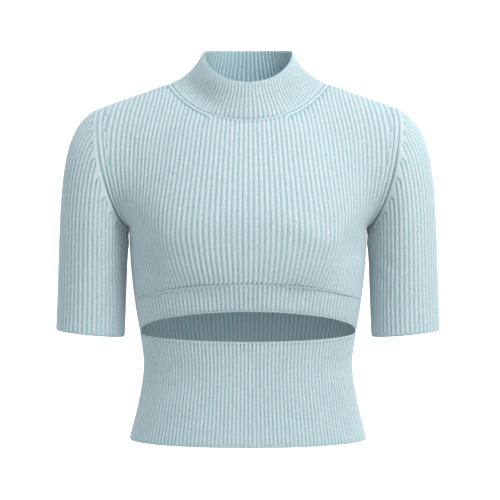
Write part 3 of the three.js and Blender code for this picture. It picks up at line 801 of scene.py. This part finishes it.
def finish_panel(p, bottom_link=False, top_link=False, free_low=False, free_high=False, steps=False):
    """Adds ribs, borders, creases and edges to a panel, with painted shade in its grooves, pits, dots and seam
    lines, and makes its mesh.
    """
    side, rib = p["side"], p["rib"]
    points, from_top, from_low = p["points"], p["from_top"], p["from_low"]
    phase = np.broadcast_to(rib, from_top.shape).copy()
    if steps:
        step = p["step"]
        outward = np.abs(p["s"])
        ended = np.interp(points[..., 2], ENDED_RIBS["z"][::-1], ENDED_RIBS[side][::-1])
        ended = ended * np.clip((outward - 0.62) / 0.38, 0, 1) ** 1.5 * (p["share"] >= 0)
        phase += np.sign(p["s"])[None] * side * ended
        hole = np.clip((1 - p["a"]) * p["girth"] / 2, 0, 99)
        weight = (1 - smooth(ARMHOLE_RIB + 5, ARMHOLE_RIB + 8, hole)) * (p["share"] > 0)
        nearest = np.clip(np.round(step), 0, 3)
        jog = np.exp(-(((step - nearest) * 22 / 0.8) ** 2))[:, None] * weight
        phase += np.sign(p["s"])[None] * side * 0.25 * np.sign(np.sin(np.pi * np.clip(step, 0, 4)))[:, None] * weight
    if bottom_link:
        phase += 0.42 * np.clip(1 - from_low / 5, 0, 1) ** 2
    height = rib_height(phase)
    if steps:
        height = height * (1 - 0.6 * jog)
    # Painted shade: the colour darkens with the depth of the groove.
    painted_shade = 1 - height
    if (p["share"] >= 0).any():
        distance, corner, along_neck = neck_border(p)
        groove = 1 - rib_height(phase)
        border = rib_height(np.clip(corner, 0, BORDER) / BORDER) ** 0.6
        on_border = along_neck * (corner > 0) * (corner < BORDER)
        height = mix(height, border, on_border)
        line = np.exp(-(((corner - BORDER) / 0.9) ** 2)) * along_neck
        pits = np.exp(-(((corner - BORDER - 1.8) / 1.5) ** 2)) * groove * along_neck
        middle = neck_middle(points)
        link = np.exp(-((distance / 0.9) ** 2)) * (1 - middle)
        height = height * (1 - 0.9 * line) * (1 - 0.6 * link) - 0.5 * pits
        # Painted shade: the border's groove line, the seam links and the pits are given a darker colour.
        painted_shade = np.clip(1 - height + 0.3 * line + 0.2 * link, 0, 1.5)
        flat = (1 - smooth(1.1, 2.0, distance)) * middle
        dots = np.exp(-(((distance - 2.3) / 0.8) ** 2)) * groove * middle
        height = mix(height, 0.85, flat) - 1.1 * dots
        # Painted shade in the dots; the flat linked band keeps the crown colour.
        painted_shade = np.clip(mix(painted_shade, 0.12, flat) + 1.3 * dots, 0, 1.6)
    if steps:
        beside = np.exp(-(((hole - ARMHOLE_RIB - 0.5) / 0.8) ** 2)) * (p["share"] >= 0)
        height = height * (1 - beside) - 0.3 * beside
        # Painted shade along the deep groove beside the armhole rib and, on the rib, along the seam.
        painted_shade = np.clip(painted_shade + 0.8 * beside, 0, 1.6)
        plain = (hole < ARMHOLE_RIB) & (p["share"] >= 0)
        ridge = rib_height(np.clip(hole / ARMHOLE_RIB, 0, 1)) ** 0.6
        height = np.where(plain, ridge, height)
        painted_shade = np.where(plain, 1 - ridge + seam_shade(hole, points), painted_shade)
    low_edge = np.clip(1 - from_low / 1.6, 0, 1) if (bottom_link or free_low) else 0
    top_edge = np.clip(1 - from_top / 1.6, 0, 1) if (top_link or free_high) else 0
    edge = np.maximum(low_edge, top_edge)
    dots = 0
    if bottom_link:
        dots = np.exp(-(((from_low - 0.9) / 1.1) ** 2)) * (1 - rib_height(phase))
    if free_high:
        dots = np.exp(-(((from_top - 3.2) / 0.9) ** 2)) * (1 - rib_height(phase))
    height = height - 0.8 * dots
    # Painted shade in the dots along the linked seam and the bound-off edge.
    painted_shade = np.clip(painted_shade + 0.9 * dots, 0, 1.6)
    if free_low or free_high:
        height = mix(height, 0.55, edge)
        painted_shade = mix(painted_shade, 0.1, edge)
    else:
        height = height * (1 - 0.35 * edge)
    normals = seam_normals(p)
    bulge = crease_height(p["creases"], points[..., 0], points[..., 2])
    bulge = bulge * smooth(0, 24, (1 - p["a"]) * p["girth"] / 2)
    if (p["share"] >= 0).any():
        bulge = bulge * smooth(0, 12, from_top)
    base = points + unit(p["normals"]) * bulge[..., None]
    rolled = 0
    if free_low:
        rolled = 0.9 * np.clip(1 - from_low / 4, 0, 1) ** 2
    outer = base - normals * (RIB_DEPTH * (1 - height) + rolled)[..., None]
    inner_depth = INNER_SHALLOW + INNER_RIB_DEPTH * rib_height(phase + 0.5)
    inner = base - normals * inner_depth[..., None]
    steps_up = np.concatenate([
        np.zeros((1, points.shape[1])),
        np.cumsum(np.linalg.norm(np.diff(points, axis=0), axis=-1), 0),
    ])
    return cloth_wall(p["name"] + "_knit", outer, inner, rib, steps_up, painted_shade, False)


# %% Make the body
back = finish_panel(
    panel("back", 1, 60, lambda s: np.full_like(s, HEM_Z), None, 40, 36, CREASES["back"]),
    free_low=True, steps=True,
)
front = finish_panel(
    panel("front", -1, 72, lambda s: edge_z(BAND_SEAM, s), None, 18, 40, CREASES["front"], link_low=1),
    bottom_link=True, steps=True,
)
band = finish_panel(
    panel("underbust_band", -1, 72, lambda s: edge_z(SLIT_TOP, s), lambda s: edge_z(BAND_SEAM, s),
          3, 0, CREASES["front"], link_high=1),
    free_low=True, top_link=True,
)
waist = finish_panel(
    panel("lower_front", -1, 76, lambda s: np.full_like(s, HEM_Z), lambda s: edge_z(SLIT_BOTTOM, s),
          20, 0, CREASES["waist"]),
    free_low=True, free_high=True,
)
for piece in (back, front, band, waist):
    print(piece.name, len(piece.data.polygons), "faces")

# %% [markdown]
# ## Sleeves and collar
# A sleeve is a tube whose ribs run from the cuff to the armhole. One rib follows the armhole,
# and the sleeve's own ribs end on it in small arches. The collar is a tube as well, with a
# plain linked band at its foot.

# %% Round pieces
SLEEVE_RIBS = 48
SLEEVE_COLUMNS = 7
SLEEVE_BORDER = 5.6
SLEEVE_PITCH = 6.0
SLEEVE_NEAR = np.arange(0, 20.1, 1.0)
COLLAR_NEAR = np.arange(0, 8.1, 0.8)


def round_rows(near, count, length, low_fine):
    near = near[:, None] + SEAM_CLEARANCE + np.zeros_like(length)
    rest = near[-1] + (length - near[-1] - low_fine[-1]) * (np.arange(1, count + 1) / count)[:, None]
    low = length - low_fine[::-1][1:, None]
    return np.concatenate([near, rest, low])


def upright_ribs(points, rib):
    """Rib numbers of ribs that stay upright on a sleeve, by the way round it at each height."""
    heights = np.arange(-312.0, -25.0)
    level = np.empty((len(heights), len(rib), 2))
    exists = np.empty((len(heights), len(rib)))
    for c in range(len(rib)):
        for k in (0, 1):
            level[:, c, k] = np.interp(heights, points[:, c, 2], points[:, c, k])
        exists[:, c] = heights <= points[-1, c, 2]
    middle = len(rib) // 2
    ways = []
    for order in (np.arange(middle, -1, -1), np.concatenate([np.arange(middle, len(rib)), [0]])):
        steps = np.linalg.norm(np.diff(level[:, order], axis=1), axis=-1)
        steps = steps * exists[:, order[1:]] * exists[:, order[:-1]]
        way = np.concatenate([np.zeros((len(heights), 1)), np.cumsum(steps, 1)], 1)
        under = np.searchsorted(heights, UNDERARM_Z - 4)
        pitch = way[:, -1] / (SLEEVE_RIBS / 2)
        pitch[under:] = pitch[under]
        ways.append(way / pitch[:, None])
    number = np.concatenate([24 - ways[0][:, ::-1], 24 + ways[1][:, 1:-1]], 1)
    found = np.empty(points.shape[:2])
    for c in range(len(rib)):
        found[:, c] = np.interp(points[:, c, 2], heights, number[:, c])
    return found


def rib_slopes(away, phase, z):
    """How fast a distance changes from rib to rib at one height, and along a rib."""
    def partly(value):
        wide = np.concatenate([value[:, -1:], value, value[:, :1]], 1)
        return np.gradient(value, axis=0), (wide[:, 2:] - wide[:, :-2]) / 2

    away_up, away_round = partly(away)
    z_up, z_round = partly(z)
    phase_up, phase_round = partly(phase)
    phase_round = np.where(np.abs(phase_round) > 3, 1 / SLEEVE_COLUMNS, phase_round)
    level = z_up * phase_round - z_round * phase_up
    level = np.where(np.abs(level) < 1e-4, 1e-4, level)
    across = (away_round * z_up - away_up * z_round) / level
    along = (away_up * phase_round - away_round * phase_up) / level
    return np.clip(across, -7, 7), np.clip(np.abs(along), 0.3, 1)


def make_sleeve(name, is_left):
    rib = np.arange(SLEEVE_RIBS * SLEEVE_COLUMNS) / SLEEVE_COLUMNS
    u = rib / SLEEVE_RIBS
    turn = (0.5 - u) % 1.0
    controls = sleeve_lines(turn)
    ends = np.ones_like(turn)
    fine = np.array([0, 1.0, 2.0, 3.2, 5.0])
    points, _, distance = at_distances(
        controls, ends, lambda length: round_rows(SLEEVE_NEAR, 96, length, fine)[::-1])
    if len(points) % 2 == 0:
        points, distance = np.delete(points, 30, 0), np.delete(distance, 30, 0)
    normals = grid_normals(points, True)
    t = np.abs(1 - 2 * turn)
    shared = np.where((turn <= 0.5)[:, None], armhole_normals(-1, t), armhole_normals(1, t))
    weight = np.clip(1 - distance / 9, 0, 1) ** 2
    mixed = mix(normals, shared[None], weight[..., None])
    loop = np.concatenate([armhole_point(-1, np.linspace(0, 1, 61)), armhole_point(1, np.linspace(1, 0, 61))])
    away = polyline_distance(points, loop)
    phase = upright_ribs(points, rib)
    across, along = rib_slopes(away, phase, points[..., 2])
    middle = 2 * np.round((phase - 0.5) / 2) + 0.5
    ends = away - (phase - middle) * across
    past = np.minimum((ends - SLEEVE_BORDER - 0.5) / along - SLEEVE_PITCH / 2, 0)
    reach = np.clip(np.hypot((phase - middle) * SLEEVE_PITCH, past), 0, SLEEVE_PITCH)
    height = rib_height(0.5 + reach / SLEEVE_PITCH)
    pits = np.exp(-(((ends - SLEEVE_BORDER - 2.5) / 2.0) ** 2)) * (1 - height)
    border = rib_height(np.clip(away / SLEEVE_BORDER, 0, 1) * 0.5 + 0.02) ** 0.6
    height = np.where(away < SLEEVE_BORDER, border, height - 0.3 * pits)
    # Painted shade in the groove ends and along the armhole seam, darker towards the underarm.
    painted_shade = 1 - height + 0.3 * pits + seam_shade(away, points)
    from_low = points[..., 2] - (CUFF["z"] + CUFF["rise"] * np.cos(turn * 2 * np.pi))
    edge = np.clip(1 - from_low / 1.6, 0, 1)
    height = mix(height, 0.55, edge)
    painted_shade = np.clip(mix(painted_shade, 0.1, edge), 0, 1.6)
    bulge = crease_height(
        [((a0 * 260, b0), (a1 * 260, b1), d, w) for (a0, b0), (a1, b1), d, w in CREASES["sleeve"]],
        np.broadcast_to(turn * 260, away.shape), points[..., 2],
    ) * smooth(0, 14, distance)
    base = points + normals * bulge[..., None]
    outer = base - mixed * (RIB_DEPTH * (1 - height))[..., None]
    inner = base - mixed * (INNER_SHALLOW + INNER_RIB_DEPTH * rib_height(phase + 0.5))[..., None]
    travelled = distance[0] - distance
    if not is_left:
        order = np.concatenate([[0], np.arange(len(rib) - 1, 0, -1)])
        outer, inner, painted_shade, travelled = [v[:, order] for v in (outer, inner, painted_shade, travelled)]
        outer, inner = mirror(outer), mirror(inner)
    return cloth_wall(name + "_knit", outer, inner, rib, travelled, painted_shade, True, uniform=True)


def make_collar():
    front_ribs, back_ribs = COLLAR_RIBS["front"], COLLAR_RIBS["back"]
    total = front_ribs + back_ribs
    rib = rib_columns(total)[:-1]
    half_front = front_ribs / 2
    turn = np.where(
        rib < half_front, rib / front_ribs / 2,
        np.where(rib < half_front + back_ribs, 0.25 + (rib - half_front) / back_ribs / 2,
                 0.75 + (rib - half_front - back_ribs) / front_ribs / 2),
    )
    left = np.minimum(turn, 1 - turn)
    controls = collar_lines(left)
    fine = np.array([0, 0.8, 1.6, 2.6, 4.0])
    points, _, from_top = at_distances(
        controls, np.ones_like(left),
        lambda length: round_rows(fine - SEAM_CLEARANCE, 14, length, COLLAR_NEAR + SEAM_CLEARANCE)[::-1])
    from_low = from_top[:1] - from_top + SEAM_CLEARANCE
    points[..., 0] *= np.where(turn > 0.5, -1, 1)
    if len(points) % 2 == 0:
        points, from_top, from_low = [np.delete(v, 14, 0) for v in (points, from_top, from_low)]
    normals = grid_normals(points, True)
    quarter = np.where(left <= 0.25, left * 4, left * 4 - 1)
    steps = np.linalg.norm(np.diff(FRONT_NECK, axis=0), axis=-1)
    shares = np.concatenate([[0], np.cumsum(steps)]) / steps.sum()
    on_front = np.interp(fanned(quarter, "seam"), shares, np.linspace(0, 1, len(shares))) * HALVES[-1]["neck_share"]
    steps = np.linalg.norm(np.diff(BACK_NECK[::-1], axis=0), axis=-1)
    shares = np.concatenate([[0], np.cumsum(steps)]) / steps.sum()
    on_back = np.interp(1 - quarter, shares, np.linspace(0, 1, len(shares))) * HALVES[1]["neck_share"]
    shared = np.where((left <= 0.25)[:, None], neck_normals(-1, on_front), neck_normals(1, on_back))
    shared = np.where((turn > 0.5)[:, None], mirror(shared), shared)
    weight = np.clip(1 - from_low / 7, 0, 1) ** 2
    mixed = mix(normals, shared[None], weight[..., None])
    phase = np.broadcast_to(rib, from_low.shape)
    side_share = np.sin(left * 2 * np.pi) ** 2
    plain = mix(1.4, 5.5, side_share)[None]
    fade = smooth(0, 1.6, from_low - plain)
    height = mix(0.72, rib_height(phase), fade)
    middle = neck_middle(points)
    foot = np.exp(-((from_low / 0.9) ** 2)) * (1 - middle)
    dots = np.exp(-(((from_low - plain - 0.9) / 0.8) ** 2)) * (1 - rib_height(phase)) * (1 + 1.5 * middle)
    edge = np.clip(1 - from_top / 1.6, 0, 1)
    height = height * (1 - foot) - 0.5 * dots
    height = mix(height, 0.55, edge)
    # Painted shade in the dots at the foot of the ribs.
    painted_shade = np.clip(mix(1 - height + 0.4 * dots, 0.1, edge), 0, 1.6)
    outer = points - mixed * (RIB_DEPTH * (1 - height))[..., None]
    inner = points - mixed * (INNER_SHALLOW + INNER_RIB_DEPTH * rib_height(phase + 0.5))[..., None]
    # The collar's inner face is painted darker: painted shade inside the collar.
    return cloth_wall("collar_knit", outer, inner, rib, from_low, painted_shade, True, inner_shade=0.3)


sleeve_left = make_sleeve("sleeve_left", True)
sleeve_right = make_sleeve("sleeve_right", False)
collar = make_collar()
PIECES = {
    "front": front, "underbust_band": band, "lower_front": waist, "back": back,
    "sleeve_left": sleeve_left, "sleeve_right": sleeve_right, "collar": collar,
}
for name, piece in PIECES.items():
    print(name, len(piece.data.polygons), "faces")

# %% [markdown]
# ## The knitted surface
# Each wale is a column of V stitches, too fine to model one by one. The piece's UV counts
# wales and courses, so a few sums on it give the two slanting legs of every stitch, and a
# Bump node lifts them. Yarn is matt and a little uneven in colour. Its colour is mixed
# towards a darker one by painted shade in the grooves and between the stitch legs.

# %% A socket that can be used in sums
class Socket:
    """A shader socket in a sum. Each operation adds its Math node."""

    def __init__(self, tree, link):
        self.tree = tree
        self.link = link

    def node(self, kind, values=(), output=0, **settings):
        made = self.tree.nodes.new(kind)
        for name, value in settings.items():
            setattr(made, name, value)
        for key, value in dict(values).items():
            if isinstance(value, Socket):
                self.tree.links.new(value.link, made.inputs[key])
            else:
                made.inputs[key].default_value = value
        return Socket(self.tree, made.outputs[output])

    def math(self, operation, *others):
        return self.node("ShaderNodeMath", enumerate([self, *others]), operation=operation)

    def __add__(self, other):
        return self.math("ADD", other)

    __radd__ = __add__

    def __sub__(self, other):
        return self.math("SUBTRACT", other)

    def __rsub__(self, other):
        return self.math("MULTIPLY", -1.0) + other

    def __mul__(self, other):
        return self.math("MULTIPLY", other)

    __rmul__ = __mul__

    def __truediv__(self, other):
        return self.math("DIVIDE", other)

    def __pow__(self, other):
        return self.math("POWER", other)

    def fraction(self):
        return self.math("FRACT")

    def absolute(self):
        return self.math("ABSOLUTE")


# %% Rib-knit cotton
# The pit colour is painted shade: grooves, pits, dots and seam lines are mixed towards it.
YARN = {"crown": (0.575, 0.625, 0.636, 1), "pit_shade": (0.225, 0.395, 0.45, 1), "edge": (0.47, 0.60, 0.635, 1)}
DEEPEST = 1.6
STITCH_SLANT = 0.9
SHINES_THROUGH = {"share": 0.6, "depth": 0.0045, "colour": (0.85, 1.0, 1.05)}


def knit_material(name, crown, pit_shade, stitches=True):
    material = bpy.data.materials.new(name)
    material.use_nodes = True
    tree = material.node_tree
    shader = tree.nodes["Principled BSDF"]
    start = Socket(tree, None)
    place = start.node("ShaderNodeTexCoord", output="Object")
    patches = start.node("ShaderNodeTexNoise", {"Vector": place, "Scale": 22.0, "Detail": 2.0})
    specks = start.node("ShaderNodeTexNoise", {"Vector": place, "Scale": 500.0, "Detail": 2.0})
    uneven = (patches - 0.5) * 0.12 + (specks - 0.5) * 1.5
    if stitches:
        uv = start.node("ShaderNodeUVMap", uv_map="knit")
        u = uv.node("ShaderNodeSeparateXYZ", {0: uv}, output=0)
        v = uv.node("ShaderNodeSeparateXYZ", {0: uv}, output=1)
        leg = (u.fraction() - 0.5).absolute()
        across = 1 - (leg * 4 - 1).absolute()
        row = ((v + leg * STITCH_SLANT).fraction() - 0.5).absolute() * 2
        stitch = (1 - row * row) * (across * 0.75 + 0.25)
        painted_shade = start.node("ShaderNodeAttribute", attribute_name="painted_shade", output="Fac")
        # Painted shade from the point attribute and between the stitch legs, plus random tone.
        painted_shade_and_tone = painted_shade * 0.9 + (1 - stitch) * 0.16 + uneven
        lift = stitch * 0.7 + specks * 0.5
    else:
        painted_shade_and_tone = uneven + 0.05
        lift = specks
    colour = mixed_colour(start, painted_shade_and_tone / DEEPEST, crown, pit_shade)
    bump = start.node("ShaderNodeBump", {"Height": lift, "Strength": 0.55, "Distance": 0.0006})
    tree.links.new(colour.link, shader.inputs["Base Color"])
    tree.links.new(bump.link, shader.inputs["Normal"])
    shader.inputs["Roughness"].default_value = 0.92
    shader.inputs["Sheen Weight"].default_value = 0.12
    shader.inputs["Sheen Roughness"].default_value = 0.5
    shader.inputs["Sheen Tint"].default_value = (0.75, 0.9, 0.95, 1)
    shader.inputs["Specular IOR Level"].default_value = 0.15
    shader.inputs["Subsurface Weight"].default_value = SHINES_THROUGH["share"]
    shader.inputs["Subsurface Radius"].default_value = SHINES_THROUGH["colour"]
    shader.inputs["Subsurface Scale"].default_value = SHINES_THROUGH["depth"]
    return material


def mixed_colour(start, factor, a, b):
    made = start.tree.nodes.new("ShaderNodeMix")
    made.data_type = "RGBA"
    start.tree.links.new(factor.link, made.inputs[0])
    made.inputs[6].default_value = a
    made.inputs[7].default_value = b
    return Socket(start.tree, made.outputs[2])


COTTON = knit_material("rib_knit_cotton", YARN["crown"], YARN["pit_shade"])
EDGE_YARN = knit_material("edge_yarn", YARN["edge"], YARN["pit_shade"], stitches=False)
for piece in PIECES.values():
    piece.data.materials.append(COTTON)

# %% [markdown]
# ## Edges bound off and seams linked
# A knitted edge ends in a chain of loops, which shows as a thin pale cord. One Geometry Nodes
# tree sets a small stitch again and again along any line, with named inputs for its sizes.

# %% A tree that sets stitches along a line
def stitch_tree():
    tree = bpy.data.node_groups.new("stitches_along_a_line", "GeometryNodeTree")
    face = tree.interface
    face.new_socket("Line", in_out="INPUT", socket_type="NodeSocketGeometry")
    for name, value in [("Pitch", 0.002), ("Length", 0.0014), ("Width", 0.0008), ("Slant", 0.5)]:
        face.new_socket(name, in_out="INPUT", socket_type="NodeSocketFloat").default_value = value
    face.new_socket("Seed", in_out="INPUT", socket_type="NodeSocketInt").default_value = 7
    face.new_socket("Yarn", in_out="INPUT", socket_type="NodeSocketMaterial")
    face.new_socket("Stitches", in_out="OUTPUT", socket_type="NodeSocketGeometry")
    nodes, links = tree.nodes, tree.links

    def add(kind, **settings):
        made = nodes.new(kind)
        for name, value in settings.items():
            setattr(made, name, value)
        return made

    given = add("NodeGroupInput")
    result = add("NodeGroupOutput")
    curve = add("GeometryNodeMeshToCurve")
    points = add("GeometryNodeCurveToPoints", mode="LENGTH")
    ball = add("GeometryNodeMeshUVSphere")
    ball.inputs["Segments"].default_value = 6
    ball.inputs["Rings"].default_value = 5
    ball.inputs["Radius"].default_value = 1.0
    spread = add("FunctionNodeRandomValue", data_type="FLOAT")
    spread.inputs[2].default_value = 0.9
    spread.inputs[3].default_value = 1.1
    size = add("ShaderNodeCombineXYZ")
    scale = add("ShaderNodeVectorMath", operation="SCALE")
    lean = add("FunctionNodeAxisAngleToRotation")
    lean.inputs["Axis"].default_value = (1, 0, 0)
    turned = add("FunctionNodeRotateRotation", rotation_space="LOCAL")
    placed = add("GeometryNodeInstanceOnPoints")
    real = add("GeometryNodeRealizeInstances")
    rounded = add("GeometryNodeSetShadeSmooth")
    coloured = add("GeometryNodeSetMaterial")
    links.new(given.outputs["Line"], curve.inputs["Mesh"])
    links.new(curve.outputs["Curve"], points.inputs["Curve"])
    links.new(given.outputs["Pitch"], points.inputs["Length"])
    links.new(points.outputs["Points"], placed.inputs["Points"])
    links.new(ball.outputs["Mesh"], placed.inputs["Instance"])
    links.new(points.outputs["Rotation"], turned.inputs["Rotation"])
    links.new(given.outputs["Slant"], lean.inputs["Angle"])
    links.new(lean.outputs["Rotation"], turned.inputs["Rotate By"])
    links.new(turned.outputs["Rotation"], placed.inputs["Rotation"])
    links.new(given.outputs["Width"], size.inputs["X"])
    links.new(given.outputs["Width"], size.inputs["Y"])
    links.new(given.outputs["Length"], size.inputs["Z"])
    links.new(given.outputs["Seed"], spread.inputs["Seed"])
    links.new(size.outputs["Vector"], scale.inputs[0])
    links.new(spread.outputs[1], scale.inputs["Scale"])
    links.new(scale.outputs["Vector"], placed.inputs["Scale"])
    links.new(placed.outputs["Instances"], real.inputs["Geometry"])
    links.new(real.outputs["Geometry"], rounded.inputs["Geometry"])
    links.new(rounded.outputs["Geometry"], coloured.inputs["Geometry"])
    links.new(given.outputs["Yarn"], coloured.inputs["Material"])
    links.new(coloured.outputs["Geometry"], result.inputs["Stitches"])
    return tree


STITCHES = stitch_tree()


def stitch_line(name, lines, pitch, length, width, slant):
    """A mesh of stitches along one or more polylines, given in millimetres."""
    mesh = bpy.data.meshes.new(name + "_line")
    vertices, edges = [], []
    for line in lines:
        first = len(vertices)
        vertices += [tuple(p) for p in np.asarray(line) * MM]
        edges += [(k, k + 1) for k in range(first, len(vertices) - 1)]
    mesh.from_pydata(vertices, edges, [])
    carrier = bpy.data.objects.new(name + "_line", mesh)
    bpy.context.scene.collection.objects.link(carrier)
    modifier = carrier.modifiers.new("stitches", "NODES")
    modifier.node_group = STITCHES
    values = {"Pitch": pitch * MM, "Length": length * MM, "Width": width * MM, "Slant": slant, "Seed": 7, "Yarn": EDGE_YARN}
    for item in STITCHES.interface.items_tree:
        if item.in_out == "INPUT" and item.name in values:
            modifier[item.identifier] = values[item.name]
    graph = bpy.context.evaluated_depsgraph_get()
    made = bpy.data.meshes.new_from_object(carrier.evaluated_get(graph))
    made.name = name
    bpy.data.objects.remove(carrier)
    piece = bpy.data.objects.new(name, made)
    bpy.context.scene.collection.objects.link(piece)
    print(name, len(made.polygons), "faces")
    return piece


# %% Bound-off edges
EDGE_DEPTH = 1.35
even = np.linspace(-1, 1, 241)


def body_edge(side, z_of, down):
    s = even * 0.999
    z = z_of(s)
    line = section_point(side, s, z)
    ahead = np.gradient(line, axis=0)
    outward = unit(np.cross(ahead, [0, 0, 1.0]))
    if (outward[120] * [0, side, 0]).sum() < 0:
        outward = -outward
    return line - outward * EDGE_DEPTH + np.array([0, 0, down])


def loop_of(points_of, closed_turns):
    line = points_of(closed_turns)
    return np.concatenate([line, line[:1]])


def cuff_edge(sign):
    turn = np.linspace(0, 1, 180, endpoint=False)
    line = sleeve_lines(turn)[0]
    centre = line.mean(0)
    line = line - unit((line - centre) * [1, 1, 0]) * EDGE_DEPTH - [0, 0, 0.1]
    line = np.concatenate([line, line[:1]])
    return line * [sign, 1, 1]


def collar_edge():
    left = np.linspace(0, 0.5, 120)
    line = collar_lines(left)[3]
    line = np.concatenate([line, mirror(line[::-1][1:])])
    outward = unit((line - line.mean(0)) * [1, 1, 0])
    return line - outward * EDGE_DEPTH + [0, 0, 0.15]


CHAIN = {"pitch": 1.75, "length": 1.35, "width": 0.85, "slant": 0.45}
hem_front = stitch_line("hem_chain_front", [body_edge(-1, lambda s: np.full_like(s, HEM_Z), -0.1)], **CHAIN)
hem_back = stitch_line("hem_chain_back", [body_edge(1, lambda s: np.full_like(s, HEM_Z), -0.1)], **CHAIN)
slit_high = stitch_line("slit_chain_upper", [body_edge(-1, lambda s: edge_z(SLIT_TOP, s), -0.1)], **CHAIN)
slit_low = stitch_line("slit_chain_lower", [body_edge(-1, lambda s: edge_z(SLIT_BOTTOM, s), 0.1)], **CHAIN)
cuff_left = stitch_line("cuff_chain_left", [cuff_edge(1)], **CHAIN)
cuff_right = stitch_line("cuff_chain_right", [cuff_edge(-1)], **CHAIN)
collar_chain = stitch_line("collar_chain", [collar_edge()], **CHAIN)
linked = FRONT_NECK[np.abs(FRONT_NECK[:, 0]) < NECK_LINK_HALF]
linked_share = np.arange(len(linked)) / (len(FRONT_NECK) - 1) * HALVES[-1]["neck_share"]
linked = linked - neck_normals(-1, linked_share) * 0.75
linked = np.concatenate([mirror(linked[::-1]), linked[1:]])
LINKING = {"pitch": 1.3, "length": 0.85, "width": 0.8, "slant": 0.3}
neck_link = stitch_line("neck_linking", [linked], **LINKING)
band_link = stitch_line("band_linking", [body_edge(-1, lambda s: edge_z(BAND_SEAM, s), 0)], **LINKING)

# %% [markdown]
# ## Pieces of cloth and what they ride on
# The top has no joints, so every piece rides on the one body.

# %% Ride and replace
EDGINGS = {
    "front": [band_link], "underbust_band": [slit_high], "lower_front": [slit_low, hem_front],
    "back": [hem_back], "sleeve_left": [cuff_left], "sleeve_right": [cuff_right],
    "collar": [collar_chain, neck_link],
}
for name, piece in PIECES.items():
    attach(piece, "root")
    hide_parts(name)
    for edging in EDGINGS[name]:
        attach(edging, "root")

# %% [markdown]
# ## Studio
# The top hangs at shoulder height over a pale floor that curves up into a wall all round, so
# that no horizon shows from any side. The paper glows with painted light, brightest on the
# wall behind the top. The light is soft, and stronger from the upper right.

# %% Floor, light and camera
FLOOR_Z = -1.35
PAPER_GLOW = {"shares": [0.1, 0.25, 0.55, 0.85, 1, 1, 1, 1], "all round": 0.12, "behind": 0.62}


def studio_floor():
    radius = np.array([0.001, 2.0, 4.0, 5.0, 5.7, 6.0, 6.1, 6.1])
    height = np.array([0, 0, 0, 0.12, 0.6, 1.3, 2.2, 7.0]) + FLOOR_Z
    turns = np.linspace(0, 2 * np.pi, 65)[:-1]
    points = [(r * np.cos(a), r * np.sin(a), h) for r, h in zip(radius, height) for a in turns]
    quads = []
    for i in range(len(radius) - 1):
        for j in range(64):
            k = (j + 1) % 64
            quads.append((i * 64 + j, i * 64 + k, (i + 1) * 64 + k, (i + 1) * 64 + j))
    mesh = bpy.data.meshes.new("studio_floor")
    mesh.from_pydata(points, [], quads)
    mesh.polygons.foreach_set("use_smooth", [True] * len(quads))
    floor = bpy.data.objects.new("studio_floor", mesh)
    bpy.context.scene.collection.objects.link(floor)
    # Painted light: the paper glows weakly all round and most on the wall behind the top, as though lamps lit it.
    glow = mesh.attributes.new("glow", "FLOAT", "POINT")
    behind = PAPER_GLOW["all round"] + PAPER_GLOW["behind"] * np.maximum(np.sin(turns), 0) ** 1.5
    shares = np.array(PAPER_GLOW["shares"])[:, None] * behind
    glow.data.foreach_set("value", shares.ravel().astype(np.float32))
    paint = bpy.data.materials.new("glowing_pale_paper")
    paint.use_nodes = True
    inputs = paint.node_tree.nodes["Principled BSDF"].inputs
    inputs["Base Color"].default_value = (0.8, 0.8, 0.8, 1)
    inputs["Roughness"].default_value = 0.9
    inputs["Emission Strength"].default_value = 1.0
    reader = paint.node_tree.nodes.new("ShaderNodeAttribute")
    reader.attribute_name = "glow"
    paint.node_tree.links.new(reader.outputs["Fac"], inputs["Emission Color"])
    mesh.materials.append(paint)


def area_light(name, place, aim, size, power):
    lamp = bpy.data.lights.new(name, "AREA")
    lamp.shape = "DISK"
    lamp.size = size
    lamp.energy = power
    thing = bpy.data.objects.new(name, lamp)
    thing.location = place
    direction = np.array(aim) - np.array(place)
    from mathutils import Vector
    thing.rotation_euler = Vector(direction).to_track_quat("-Z", "Y").to_euler()
    bpy.context.scene.collection.objects.link(thing)


studio_floor()
world = bpy.data.worlds.new("studio")
world.use_nodes = True
world.node_tree.nodes["Background"].inputs[0].default_value = (0.69, 0.97, 1.06, 1)
world.node_tree.nodes["Background"].inputs[1].default_value = 0.46
bpy.context.scene.world = world
area_light("key", (0.95, -1.25, 1.35), (0, 0, -0.1), 0.9, 39)
area_light("fill", (0.3, -2.4, -0.15), (0, 0, -0.2), 0.8, 5)
area_light("behind", (-1.6, 2.2, 1.3), (0, 0, -0.2), 1.5, 22)
bpy.context.scene.view_settings.view_transform = "Standard"

camera = bpy.data.cameras.new("camera")
camera.lens = 106.2
camera.sensor_width = 36
eye = bpy.data.objects.new("camera", camera)
eye.location = (0.0024, -1.8, -0.205)
eye.rotation_euler = (np.pi / 2, 0, 0)
bpy.context.scene.collection.objects.link(eye)
bpy.context.scene.camera = eye
